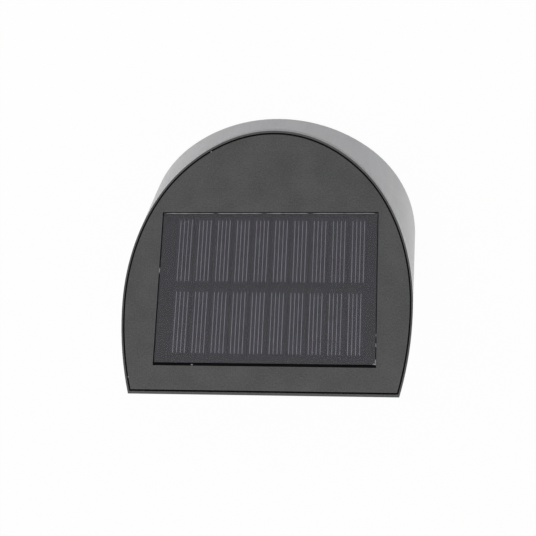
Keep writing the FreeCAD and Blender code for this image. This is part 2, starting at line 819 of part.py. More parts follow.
def base_plate():
    """The bottom cover: a thin flange under the walls, a plug inside them, standoffs and holes."""
    flange = d_prism("base_flange_plate", "base_inset", "0", "base_flange")
    plug = d_prism("base_plug_plate", "skirt_inset", "base_flange", "base_top")
    channel = d_prism("seal_channel", "wall", "seal_start", "seal_start + seal_height",
                      inner="skirt_inset + seal_width")
    seal = d_prism("base_seal", "wall + screw_clearance", "seal_start",
                   "seal_start + seal_height", inner="skirt_inset + seal_width")
    added, removed = [flange, plug], [channel]
    for index, (_, x, y) in enumerate(BASE_SCREW_PLACES):
        foot = (x, y, "-wall")
        removed.append(rod(f"base_hole_{index}", "screw_hole", "2 * base_top", foot))
        removed.append(rod(f"base_recess_{index}", "head_hole", "head_recess + wall", foot))
    for index, (_, x, y) in enumerate(STANDOFF_PLACES):
        added.append(
            rod(f"standoff_{index}", "standoff_radius", "control_z - base_flange",
                (x, y, "base_flange"))
        )
        removed.append(
            rod(f"standoff_pilot_{index}", "small_hole", "board_screw_length",
                (x, y, "control_top - board_screw_length"))
        )
    for side, x, y in mirrored_pairs("tray_screw_x", "tray_screw_y"):
        removed.append(
            rod(f"tray_pilot_{side}", "small_hole", "tray_screw_length",
                (x, y, "tray_top - tray_screw_length - screw_clearance"))
        )
    under_button = ("0", "control_y", "-wall")
    removed.append(rod("button_hole", "button_bore", "2 * base_top", under_button))
    removed.append(
        rod("finger_recess", "finger_recess_radius", "finger_recess_depth + wall", under_button)
    )
    part("base_plate", cut("base_plate", fuse("base_blank", *added), *removed))
    part("base_seal", seal)


def button():
    """The sprung push button in the base, its stem and its return spring."""
    cap = rod("button_cap", "button_radius", "button_top - button_recess",
              ("0", "control_y", "button_recess"))
    flange = rod("button_flange", "button_flange_radius", "button_flange_height",
                 ("0", "control_y", "button_top"))
    dish = doc.addObject("Part::Sphere", "button_dish")
    bind(dish, Radius="button_dish_radius")
    place(dish, "0", "control_y", "button_recess + button_dish - button_dish_radius")
    part("power_button", cut("power_button", fuse("button_blank", cap, flange), dish))
    on_flange = ("0", "control_y", "flange_top")
    part("switch_stem", rod("switch_stem", "stem_radius", "stem_length", on_flange))
    spring = coil("button_spring", "spring_radius", "spring_wire", "switch_bottom - flange_top",
                  "spring_turns", on_flange)
    part("button_spring", spring)


def screws():
    """Four screws hold the base, two hold the cap to the back."""
    base = [
        screw(f"base_screw_{index}", "screw_radius", "base_screw_length - head_recess",
              "screw_head_radius", "screw_head_height", (x, y, "head_recess"), "z")
        for index, (_, x, y) in enumerate(BASE_SCREW_PLACES)
    ]
    part("base_screws", group("base_screws", *base))
    cap = [
        screw(f"cap_screw_{side}", "screw_radius", "cap_screw_length", "screw_head_radius",
              "cap_head_height", (x, "half_depth - cap_head_recess", "cap_screw_z"), "-y")
        for side, x, _ in mirrored_pairs("cap_screw_x", "0")
    ]
    part("cap_screws", group("cap_screws", *cap))


# ---------------------------------------------------------------- light and electronics


def reflector():
    """A white wall behind the light room, with a white floor that holds it."""
    zone = slab("reflector_zone", "reflector_inset", "reflector_drop", low="base_top")
    wall_box = centred_box("reflector_wall", "0", "0", "0",
                           ("2 * body_width", "reflector_thickness", "back_height"))
    floor = d_prism("tray_floor", "tray_outline", "base_top", "tray_top")
    floor_zone = centred_box("tray_zone", "0", "-body_depth", "0",
                             ("2 * body_width", "body_depth + reflector_thickness", "back_height"))
    removed = [
        rod(f"tray_post_hole_{side}", "post_radius + post_clearance", "back_height", (x, y, "0"))
        for side, x, y in mirrored_pairs("front_post_x", "front_post_y")
    ]
    removed += [
        rod(f"tray_hole_{side}", "small_hole", "back_height", (x, y, "0"))
        for side, x, y in mirrored_pairs("tray_screw_x", "tray_screw_y")
    ]
    for side, x, _ in mirrored_pairs("led_lead_x", "0"):
        removed.append(rod(f"led_lead_hole_{side}", "lead_hole", "4 * reflector_thickness",
                           (x, "-reflector_thickness", "led_board_z"), "y"))
    for side, x, _ in mirrored_pairs("led_screw_x", "0"):
        removed.append(rod(f"led_pilot_{side}", "small_hole", "4 * reflector_thickness",
                           (x, "-reflector_thickness", "led_board_z"), "y"))
    blank = fuse("reflector_blank", common("reflector_panel", zone, wall_box),
                 common("reflector_tray", floor, floor_zone))
    part("reflector", cut("reflector", blank, *removed))
    spots = [(x, y, "tray_top") for _, x, y in mirrored_pairs("tray_screw_x", "tray_screw_y")]
    small_screws("tray_screws", spots, "tray_screw_length", "-z")


def light_strip():
    """The lamp board on the reflector, its lamps and its screws."""
    board = centred_box("led_board_blank", "0", "-led_board_thickness",
                        "led_board_z - led_board_height / 2",
                        ("led_board_width", "led_board_thickness", "led_board_height"))
    holes = [
        rod(f"led_board_hole_{side}", "small_hole", "4 * led_board_thickness",
            (x, "-2 * led_board_thickness", "led_board_z"), "y")
        for side, x, _ in mirrored_pairs("led_screw_x", "0")
    ]
    part("led_board", cut("led_board", board, *holes))
    count = SIZES["led_count"]
    lamps = [
        centred_box(f"led_{index}", f"({index} - ({count} - 1) / 2) * led_pitch",
                    "-led_board_thickness - led_depth", "led_board_z - led_height / 2",
                    ("led_width", "led_depth", "led_height"))
        for index in range(count)
    ]
    part("leds", group("leds", *lamps))
    spots = [
        (x, "-led_board_thickness", "led_board_z")
        for _, x, _ in mirrored_pairs("led_screw_x", "0")
    ]
    small_screws("led_screws", spots, "led_screw_length", "y")


def control_board():
    """The charging board on the standoffs, with the switch under it."""
    blank = centred_box("control_blank", "0", "control_y - control_length / 2", "control_z",
                        ("control_width", "control_length", "control_thickness"))
    holes = [
        rod(f"control_hole_{index}", "small_hole", "control_top", (x, y, "control_z / 2"))
        for index, (_, x, y) in enumerate(STANDOFF_PLACES)
    ]
    part("control_board", cut("control_board", blank, *holes))
    part("control_chip", centred_box("control_chip", "chip_x", "control_y", "control_top",
                                     ("chip_width", "chip_length", "chip_height")))
    part("choke_coil", rod("choke_coil", "coil_radius", "coil_height",
                           ("coil_x", "control_y - coil_radius", "control_top")))
    part("capacitor", rod("capacitor", "capacitor_radius", "capacitor_height",
                          ("capacitor_x", "capacitor_y", "control_top")))
    body = centred_box("switch_blank", "0", "control_y - switch_width / 2", "switch_bottom",
                       ("switch_width", "switch_width", "switch_height"))
    bore = rod("switch_bore", "stem_bore", "stem_end", ("0", "control_y", "0"))
    part("switch_body", cut("switch_body", body, bore))
    small_screws("board_screws", [(x, y, "control_top") for _, x, y in STANDOFF_PLACES],
                 "board_screw_length - screw_clearance", "-z")


def battery():
    """A round cell in a holder on the back wall, between a sprung and a flat contact."""
    size = ("holder_length", "inner_back - holder_front", "2 * holder_half")
    blank = centred_box("holder_blank", "0", "holder_front", "battery_z - holder_half", size)
    room = centred_box("holder_space", "0", "holder_front - holder_wall",
                       "battery_z - holder_inner / 2", ("holder_room", size[1], "holder_inner"))
    pair = mirrored_pairs("holder_screw_x", "0")
    holes = [
        rod(f"holder_hole_{side}", "small_hole", "4 * holder_wall",
            (x, "inner_back - 2 * holder_wall", "holder_screw_z"), "y")
        for side, x, _ in pair
    ]
    part("battery_holder", cut("battery_holder", blank, room, *holes))
    spots = [(x, "inner_back - holder_wall", "holder_screw_z") for _, x, _ in pair]
    small_screws("holder_screws", spots, "holder_screw_length", "y")
    middle = ("battery_y", "battery_z")
    can_length = "cell_can_length - battery_nub_height"
    can = rod("can_body", "cell_can_radius", can_length, ("battery_left", *middle), "x")
    nub = rod("can_nub", "battery_nub_radius", "cell_can_length", ("battery_left", *middle), "x")
    part("battery_can", fuse("battery_can", can, nub))
    sleeve = rod("sleeve_blank", "sleeve_radius", can_length, ("battery_left", *middle), "x")
    core = rod("sleeve_core", "cell_can_radius", "2 * cell_can_length",
               ("-cell_can_length", *middle), "x")
    part("battery_sleeve", cut("battery_sleeve", sleeve, core))
    plates = [
        box(f"contact_{side}", (x, "battery_y - contact_width / 2", "battery_z - contact_width / 2"),
            ("contact_thickness", "contact_width", "contact_width"))
        for side, x in (("left", "-holder_room / 2"), ("right", "holder_room / 2 - contact_thickness"))
    ]
    part("battery_contacts", group("battery_contacts", *plates))
    part("battery_spring", coil("battery_spring", "battery_spring_radius", "battery_spring_wire",
                                "battery_spring_length", "battery_spring_turns",
                                ("contact_thickness - holder_room / 2", *middle), "x"))


def leads():
    """Three pairs of wires: panel, battery and lamps, each down to the control board."""
    panel_z = drop_line("panel_lead_y", "(0 - board_bottom) / cos(cap_slope) + 2 * lead_radius")
    for colour, sign in (("red", "1"), ("black", "-1")):
        x, y = f"{sign} * lead_pitch / 2", "panel_lead_y"
        name = f"panel_lead_{colour}"
        part(name, lead(name, [(x, y, panel_z), (x, y, "control_top")]))
        out, end, y = f"{sign} * battery_lead_x", f"{sign} * battery_lead_end_x", "battery_y"
        name = f"battery_lead_{colour}"
        route = [
            (out, y, "battery_z - holder_half"),
            (out, y, "battery_lead_bend_z"),
            (end, y, "battery_lead_bend_z"),
            (end, y, "control_top"),
        ]
        part(name, lead(name, route))
        x, y = f"{sign} * led_lead_x", "led_lead_y"
        name = f"led_lead_{colour}"
        part(name, lead(name, [(x, "0", "led_board_z"), (x, y, "led_board_z"), (x, y, "control_top")]))


# ---------------------------------------------------------------- check and write


def write_parts():
    """Checks every object, then writes each piece to its own file."""
    doc.recompute()
    failed = [item.Name for item in doc.Objects if {"Invalid", "Error"} & set(item.State)]
    if failed:
        raise RuntimeError(f"these objects failed: {failed}")
    os.makedirs("parts", exist_ok=True)
    for made in PARTS:
        shape = made.Shape
        if shape.isNull() or not shape.isValid() or not shape.Solids:
            raise RuntimeError(f"{made.Label} has no valid solid")
        print(f"{made.Label}: {len(shape.Solids)} solid(s), {shape.Volume:.1f} mm3")
    for made in PARTS:
        made.Shape.exportStep(f"parts/{made.Label}.step")
    print(len(PARTS), "pieces")


for build in (
    lens_and_housing,
    cap_frame,
    solar_cover,
    solar_panel,
    base_plate,
    button,
    screws,
    reflector,
    light_strip,
    control_board,
    battery,
    leads,
):
    build()
write_parts()
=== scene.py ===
"""Looks of a solar fence light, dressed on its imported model.

The scene is in metres in the model's own frame: +Z up, the flat back towards +Y, the curved lens
towards -Y. New shapes are made in millimetres on a frame of their own and laid in place by a
matrix, so that each finished piece sits at the origin with its place in its mesh.
"""

import logging
import math
from dataclasses import dataclass
from enum import Enum

import bmesh
import bpy
from mathutils import Matrix, Vector, noise


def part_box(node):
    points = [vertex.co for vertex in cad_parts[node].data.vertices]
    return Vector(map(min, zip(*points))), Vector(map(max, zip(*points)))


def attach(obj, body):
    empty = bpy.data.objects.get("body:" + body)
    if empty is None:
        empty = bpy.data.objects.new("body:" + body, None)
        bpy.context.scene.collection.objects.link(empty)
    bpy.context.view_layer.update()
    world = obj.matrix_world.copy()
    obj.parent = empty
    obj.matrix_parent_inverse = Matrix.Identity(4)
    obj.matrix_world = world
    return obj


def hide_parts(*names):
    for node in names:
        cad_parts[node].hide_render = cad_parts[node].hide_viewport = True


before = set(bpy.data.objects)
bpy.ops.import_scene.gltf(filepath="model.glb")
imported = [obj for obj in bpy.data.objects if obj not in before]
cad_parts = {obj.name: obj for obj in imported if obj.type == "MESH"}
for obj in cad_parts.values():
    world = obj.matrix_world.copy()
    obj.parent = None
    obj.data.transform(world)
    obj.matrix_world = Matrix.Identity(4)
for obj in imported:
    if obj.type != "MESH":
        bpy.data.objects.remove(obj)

LOG = logging.getLogger("fence_light")
MM = 0.001
TO_METRES = Matrix.Scale(MM, 4)

Colour = tuple[float, float, float]
Size = tuple[float, float, float]
Profile = tuple[tuple[float, float], ...]
Node = bpy.types.Node
Socket = bpy.types.NodeSocket
Tree = bpy.types.NodeTree
Shape = bmesh.types.BMesh


def srgb(red: int, green: int, blue: int) -> Colour:
    """Turns a screen colour of 0 to 255 into the linear colour that a shader takes.

    Args:
        red: Red, 0 to 255.
        green: Green, 0 to 255.
        blue: Blue, 0 to 255.

    Returns:
        The linear red, green and blue.
    """

    def linear(level: float) -> float:
        """One channel from screen to linear."""
        return level / 12.92 if level <= 0.04045 else ((level + 0.055) / 1.055) ** 2.4

    return linear(red / 255), linear(green / 255), linear(blue / 255)


class Body(Enum):
    """The bodies of the model that a piece can ride on."""

    HOUSING = "housing"
    BUTTON = "button"


class Effect(Enum):
    """The shared surface effects, each a shader node group."""

    GRAIN = "moulded_grain"
    WEAR_AND_HIGHLIGHT = "edge_wear"
    SCUFFS = "fine_scuffs"
    BRUSHED = "brushed_lines"


# ---------------------------------------------------------------- shader graphs


class Graph:
    """A node tree that is filled node by node."""

    def __init__(self, tree: Tree) -> None:
        """Starts with an empty tree."""
        self.tree = tree
        tree.nodes.clear()

    def add(self, kind: str, **inputs: object) -> Node:
        """Adds a node and fills its inputs.

        Args:
            kind: The node's type, without its ShaderNode prefix.
            inputs: Values or output sockets by input name, with _ for a space.

        Returns:
            The new node.
        """
        node = self.tree.nodes.new(kind if kind.startswith("NodeGroup") else f"ShaderNode{kind}")
        return self.feed(node, **inputs)

    def feed(self, node: Node, **inputs: object) -> Node:
        """Fills a node's inputs by name, with _ for a space, and hands the node back."""
        for name, given in inputs.items():
            self.fill(node.inputs[name.replace("_", " ")], given)
        return node

    def fill(self, socket: Socket, given: object) -> None:
        """Links a socket, or sets its value."""
        if isinstance(given, Socket):
            self.tree.links.new(given, socket)
        elif isinstance(given, tuple) and len(given) == 3 and socket.type == "RGBA":
            socket.default_value = (*given, 1.0)
        else:
            socket.default_value = given

    def maths(self, operation: str, *given: object) -> Socket:
        """Adds a Math node.

        Args:
            operation: Blender's name of the operation.
            given: One to three values or sockets.

        Returns:
            The node's output.
        """
        node = self.add("Math")
        node.operation = operation
        for socket, value in zip(node.inputs, given):
            self.fill(socket, value)
        return node.outputs[0]

    def times(self, first: object, second: object) -> Socket:
        """Multiplies two numbers."""
        return self.maths("MULTIPLY", first, second)

    def mix(self, factor: object, first: object, second: object) -> Socket:
        """Mixes two colours and returns the result."""
        node = self.add("Mix")
        node.data_type = "RGBA"
        for index, given in ((0, factor), (6, first), (7, second)):
            self.fill(node.inputs[index], given)
        return node.outputs[2]

    def spread(self, given: object, low: float, high: float) -> Socket:
        """Maps 0 to 1 onto low to high, clamped."""
        node = self.add("MapRange", Value=given, To_Min=low, To_Max=high)
        return node.outputs["Result"]

    def contrast(self, given: object, low: float, high: float) -> Socket:
        """Maps low to high onto 0 to 1, clamped and eased."""
        node = self.add("MapRange", Value=given, From_Min=low, From_Max=high)
        node.interpolation_type = "SMOOTHSTEP"
        return node.outputs["Result"]

    def place(self, scale: Size = (1.0, 1.0, 1.0)) -> Socket:
        """Object coordinates, stretched."""
        coordinates = self.add("TexCoord")
        mapping = self.add("Mapping", Vector=coordinates.outputs["Object"], Scale=scale)
        return mapping.outputs["Vector"]

    def noise(self, vector: object, size_mm: float, detail: float = 2.0) -> Socket:
        """Soft noise with features of about one size."""
        node = self.add("TexNoise", Vector=vector, Scale=1 / (size_mm * MM), Detail=detail)
        return node.outputs["Fac"]

    def effect(self, kind: Effect, **inputs: object) -> bpy.types.NodeOutputs:
        """Adds one of the shared effects and returns its outputs."""
        node = self.add("Group")
        node.node_tree = EFFECTS[kind]
        return self.feed(node, **inputs).outputs

    def bump(self, height: object, depth_mm: float) -> Socket:
        """Turns a height of 0 to 1 into a normal."""
        node = self.add("Bump", Height=height, Strength=1.0, Distance=depth_mm * MM)
        return node.outputs["Normal"]


def new_group(
    kind: Effect, inputs: dict[str, float], outputs: tuple[str, ...]
) -> tuple[Graph, Node, Node]:
    """Starts a shader node group with named inputs and outputs.

    Args:
        kind: The effect, which names the group.
        inputs: Each number input with its default.
        outputs: The names of the number outputs.

    Returns:
        The group's graph, its input node and its output node.
    """
    tree = bpy.data.node_groups.new(kind.value, "ShaderNodeTree")
    for name, default in inputs.items():
        socket = tree.interface.new_socket(name, in_out="INPUT", socket_type="NodeSocketFloat")
        socket.default_value = default
    for name in outputs:
        tree.interface.new_socket(name, in_out="OUTPUT", socket_type="NodeSocketFloat")
    graph = Graph(tree)
    return graph, graph.add("NodeGroupInput"), graph.add("NodeGroupOutput")


def grain_effect() -> Tree:
    """The fine spark-eroded grain of moulded plastic: a patchy tone and a height."""
    graph, given, result = new_group(Effect.GRAIN, {"Size": 0.25}, ("Tone", "Height"))
    place = graph.place()
    scale = graph.maths("DIVIDE", 1 / MM, given.outputs["Size"])
    fine = graph.add("TexNoise", Vector=place, Scale=scale, Detail=3.0, Roughness=0.6)
    pits = graph.add("TexVoronoi", Vector=place, Scale=graph.times(scale, 0.8))
    cloudy = graph.noise(place, 11.0, 3.0)
    height = graph.maths("MULTIPLY_ADD", pits.outputs["Distance"], 0.5, fine.outputs["Fac"])
    patchy = graph.times(fine.outputs["Fac"], 0.7)
    tone = graph.maths("MULTIPLY_ADD", cloudy, 0.3, patchy)
    graph.feed(result, Tone=graph.contrast(tone, 0.32, 0.68), Height=graph.times(height, 0.66))
    return graph.tree


def edge_wear_and_highlight_effect() -> Tree:
    """Pale edges, partly rubbed wear and partly a painted highlight: a mask that is high where the
    surface turns sharply.
    """
    graph, given, result = new_group(Effect.WEAR_AND_HIGHLIGHT, {"Radius": 0.4}, ("Mask",))
    rounded = graph.add("Bevel", Radius=graph.times(given.outputs["Radius"], MM))
    rounded.samples = 4
    dot = graph.add("VectorMath")
    dot.operation = "DOT_PRODUCT"
    graph.fill(dot.inputs[0], rounded.outputs["Normal"])
    graph.fill(dot.inputs[1], graph.add("NewGeometry").outputs["Normal"])
    edge = graph.contrast(graph.maths("SUBTRACT", 1.0, dot.outputs["Value"]), 0.02, 0.2)
    broken = graph.contrast(graph.noise(graph.place(), 1.4, 4.0), 0.35, 0.6)
    graph.feed(result, Mask=graph.times(edge, broken))
    return graph.tree


def scuff_effect() -> Tree:
    """Hair-fine scuffs that run mostly one way, patches of handling and a few specks of dust."""
    graph, given, result = new_group(Effect.SCUFFS, {"Amount": 0.5}, ("Lines", "Patches", "Specks"))
    amount = given.outputs["Amount"]
    thin = graph.contrast(graph.noise(graph.place((0.06, 1.0, 0.3)), 0.35, 2.0), 0.66, 0.74)
    patches = graph.contrast(graph.noise(graph.place(), 14.0, 3.0), 0.45, 0.7)
    grit = graph.add("TexVoronoi", Vector=graph.place(), Scale=1 / (5.0 * MM))
    small = graph.contrast(graph.maths("SUBTRACT", 1.0, grit.outputs["Distance"]), 0.95, 0.97)
    chosen = graph.maths("GREATER_THAN", grit.outputs["Color"], 0.62)
    graph.feed(
        result,
        Lines=graph.times(thin, amount),
        Patches=graph.times(patches, amount),
        Specks=graph.times(small, chosen),
    )
    return graph.tree


def brushed_effect() -> Tree:
    """Drawn or rolled metal: fine lines along one way."""
    graph, given, result = new_group(Effect.BRUSHED, {"Amount": 1.0}, ("Lines",))
    lines = graph.noise(graph.place((1.0, 0.05, 1.0)), 0.12, 3.0)
    graph.feed(result, Lines=graph.times(lines, given.outputs["Amount"]))
    return graph.tree


EFFECTS: dict[Effect, Tree] = {
    Effect.GRAIN: grain_effect(),
    Effect.WEAR_AND_HIGHLIGHT: edge_wear_and_highlight_effect(),
    Effect.SCUFFS: scuff_effect(),
    Effect.BRUSHED: brushed_effect(),
}


def new_material(name: str) -> tuple[bpy.types.Material, Graph, Node]:
    """Starts a material with one Principled shader.

    Args:
        name: The material's name.

    Returns:
        The material, its graph and its shader node.
    """
    material = bpy.data.materials.new(name)
    material.use_nodes = True
    graph = Graph(material.node_tree)
    shader = graph.add("BsdfPrincipled")
    graph.add("OutputMaterial", Surface=shader.outputs["BSDF"])
    return material, graph, shader


def paler(colour: Colour, factor: float) -> Colour:
    """A colour made lighter or darker by one factor."""
    return tuple(min(1.0, channel * factor) for channel in colour)


# ---------------------------------------------------------------- finishes


@dataclass(frozen=True)
class Finish:
    """A finish of the light: a name, a colour and a way to fill one shader."""

    name: str
    colour: Colour

    def build(self) -> bpy.types.Material:
        """Makes the material."""
        material, graph, shader = new_material(self.name)
        graph.feed(shader, **self.look(graph))
        return material

    def look(self, graph: Graph) -> dict[str, object]:
        """What goes into the shader, which each kind of finish says for itself."""
        raise NotImplementedError

    def tones(self, graph: Graph, mask: object, low: float, high: float) -> Socket:
        """The finish's colour times a factor that runs from low to high with a mask."""
        return graph.mix(mask, paler(self.colour, low), paler(self.colour, high))


@dataclass(frozen=True)
class MouldedPlastic(Finish):
    """Opaque plastic from a spark-eroded mould.

    mottle is the share by which the tone varies, and the edge share how pale the edges turn,
    partly as rubbed, worn plastic and partly as a painted highlight. The upright sides may be
    polished, and their colour is made paler as a painted sheen.
    """

    roughness: float = 0.5
    specular: float = 0.4
    mottle: float = 0.12
    grain_mm: float = 0.25
    grain_depth_mm: float = 0.03
    wear_and_highlight: float = 0.35
    polish: float = 0.0
    painted_side_sheen: float = 1.0

    def look(self, graph: Graph) -> dict[str, object]:
        """Lays scuffs, dust, pale edges and paler upright sides over the grained tone; the edges
        are partly rubbed and partly a painted highlight, the sides a painted sheen.
        """
        grain = graph.effect(Effect.GRAIN, Size=self.grain_mm)
        scuffs = graph.effect(Effect.SCUFFS, Amount=0.5)
        edges = graph.effect(Effect.WEAR_AND_HIGHLIGHT, Radius=0.35)
        side = self.upright(graph)
        tone = self.tones(graph, grain["Tone"], 1 - self.mottle, 1 + self.mottle)
        # the upright sides are made paler in colour: a painted sheen
        tone = graph.mix(side, tone, paler(self.colour, self.painted_side_sheen))
        for mask, share, factor in (
            (scuffs["Lines"], 0.25, 1.7),
            (scuffs["Specks"], 0.4, 2.2),
            # pale edges: partly rubbed wear, partly a painted highlight
            (edges["Mask"], self.wear_and_highlight, 2.4),
        ):
            tone = graph.mix(graph.times(mask, share), tone, paler(self.colour, factor))
        rough = graph.spread(grain["Tone"], self.roughness - 0.05, self.roughness + 0.05)
        return dict(
            Base_Color=tone,
            Roughness=graph.maths("MULTIPLY_ADD", scuffs["Patches"], -0.08, rough),
            Specular_IOR_Level=self.specular,
            Coat_Weight=graph.times(side, self.polish),
            Coat_Roughness=0.12,
            Normal=graph.bump(grain["Height"], self.grain_depth_mm),
        )

    def upright(self, graph: Graph) -> Socket:
        """A mask of the faces that stand upright on the light."""
        coordinates = graph.add("TexCoord")
        parts = graph.add("SeparateXYZ", Vector=coordinates.outputs["Normal"])
        level = graph.contrast(graph.maths("ABSOLUTE", parts.outputs["Z"]), 0.2, 0.6)
        return graph.maths("SUBTRACT", 1.0, level)


@dataclass(frozen=True)
class FrostedPlastic(Finish):
    """Milky plastic that lets light through without showing what is behind it."""

    roughness: float = 0.34
    specular: float = 0.5
    transmission: float = 0.15
    ripple_mm: float = 9.0
    speckle_mm: float = 0.7
    mottle: float = 0.1
    polish: float = 0.25

    def look(self, graph: Graph) -> dict[str, object]:
        """Varies the tone by broad clouds, flow marks and speckles."""
        place = graph.place()
        frost = graph.effect(Effect.GRAIN, Size=0.18)
        cloudy = graph.contrast(graph.noise(place, self.ripple_mm, 2.0), 0.3, 0.7)
        flow = graph.contrast(graph.noise(graph.place((1.0, 1.0, 0.12)), 1.6, 3.0), 0.35, 0.65)
        broad = graph.maths("MULTIPLY_ADD", cloudy, 0.25, graph.times(flow, 0.25))
        speckle = graph.contrast(graph.noise(place, self.speckle_mm, 3.0), 0.3, 0.7)
        share = graph.maths("MULTIPLY_ADD", speckle, 0.5, broad)
        rough = graph.spread(frost["Tone"], self.roughness - 0.04, self.roughness + 0.06)
        return dict(
            Base_Color=self.tones(graph, share, 1 - self.mottle, 1 + self.mottle),
            Roughness=rough,
            Specular_IOR_Level=self.specular,
            Transmission_Weight=self.transmission,
            IOR=1.5,
            Coat_Weight=self.polish,
            Coat_Roughness=0.16,
            Normal=graph.bump(frost["Height"], 0.012),
        )


@dataclass(frozen=True)
class ClearLaminate(Finish):
    """The clear sheet over the cells, slightly hazy, with a faint orange-peel surface."""

    haze: float = 0.05
    roughness: float = 0.62

    def look(self, graph: Graph) -> dict[str, object]:
        """Makes the sheet see-through, a little less so in patches."""
        place = graph.place()
        patches = graph.contrast(graph.noise(place, 6.0, 3.0), 0.3, 0.7)
        return dict(
            Base_Color=self.tones(graph, patches, 0.92, 1.08),
            Alpha=graph.spread(patches, self.haze - 0.015, self.haze + 0.015),
            Roughness=graph.spread(patches, self.roughness - 0.04, self.roughness + 0.04),
            Specular_IOR_Level=0.4,
            Normal=graph.bump(graph.noise(place, 1.1, 2.0), 0.004),
        )


@dataclass(frozen=True)
class Silicon(Finish):
    """Dark cell strips or the laminate they lie on: a deep tone with faint crystal patches."""

    tint: Colour
    crystal_mm: float = 4.0
    roughness: float = 0.5
    specular: float = 0.3

    def look(self, graph: Graph) -> dict[str, object]:
        """Tints the tone in clouds and crystals."""
        place = graph.place()
        crystals = graph.add("TexVoronoi", Vector=place, Scale=1 / (self.crystal_mm * MM))
        cloud = graph.noise(place, self.crystal_mm * 2, 3.0)
        share = graph.times(graph.contrast(cloud, 0.3, 0.7), 0.6)
        flake = graph.maths("MULTIPLY_ADD", crystals.outputs["Distance"], 0.3, share)
        return dict(
            Base_Color=graph.mix(flake, self.colour, self.tint),
            Roughness=graph.spread(cloud, self.roughness - 0.06, self.roughness + 0.06),
            Specular_IOR_Level=self.specular,
            Normal=graph.bump(cloud, 0.008),
        )


@dataclass(frozen=True)
class PlatedMetal(Finish):
    """Plated or drawn metal with fine lines and a trace of tarnish."""

    roughness: float = 0.32
    tarnish: Colour = srgb(96, 92, 86)

    def look(self, graph: Graph) -> dict[str, object]:
        """Draws the lines and dulls the metal in patches."""
        lines = graph.effect(Effect.BRUSHED)["Lines"]
        dull = graph.contrast(graph.noise(graph.place(), 2.2, 4.0), 0.5, 0.75)
        shine = self.tones(graph, lines, 0.9, 1.06)
        return dict(
            Base_Color=graph.mix(graph.times(dull, 0.35), shine, self.tarnish),
            Metallic=1.0,
            Roughness=graph.spread(dull, self.roughness - 0.05, self.roughness + 0.16),
            Normal=graph.bump(lines, 0.006),
        )


@dataclass(frozen=True)
class SoftRubber(Finish):
    """Rubber, foam or wire insulation: matt, faintly dusty, with soft pores."""

    roughness: float = 0.75
    pore_mm: float = 0.5
    sheen: float = 0.1
    specular: float = 0.5

    def look(self, graph: Graph) -> dict[str, object]:
        """Lays dust in patches over a porous skin."""
        place = graph.place()
        dust = graph.contrast(graph.noise(place, 5.0, 4.0), 0.45, 0.8)
        pores = graph.noise(place, self.pore_mm, 3.0)
        roughest = min(1.0, self.roughness + 0.1)
        return dict(
            Base_Color=self.tones(graph, graph.times(dust, 0.3), 1.0, 1.8),
            Roughness=graph.spread(pores, self.roughness - 0.1, roughest),
            Sheen_Weight=self.sheen,
            Specular_IOR_Level=self.specular,
            Normal=graph.bump(pores, 0.03),
        )


@dataclass(frozen=True)
class SolderMask(Finish):
    """The lacquer of a circuit board over the weave of its glass cloth."""

    weave_mm: float = 0.45

    def look(self, graph: Graph) -> dict[str, object]:
        """Presses the weave into the lacquer."""
        place = graph.place()
        scale = 1 / (self.weave_mm * MM)
        weave = graph.add("TexVoronoi", Vector=place, Scale=scale, Randomness=0.25)
        weave.distance = "MANHATTAN"
        lacquer = graph.noise(place, 3.0, 3.0)
        return dict(
            Base_Color=self.tones(graph, lacquer, 0.9, 1.1),
            Roughness=graph.spread(lacquer, 0.22, 0.38),
            Normal=graph.bump(weave.outputs["Distance"], 0.012),
        )


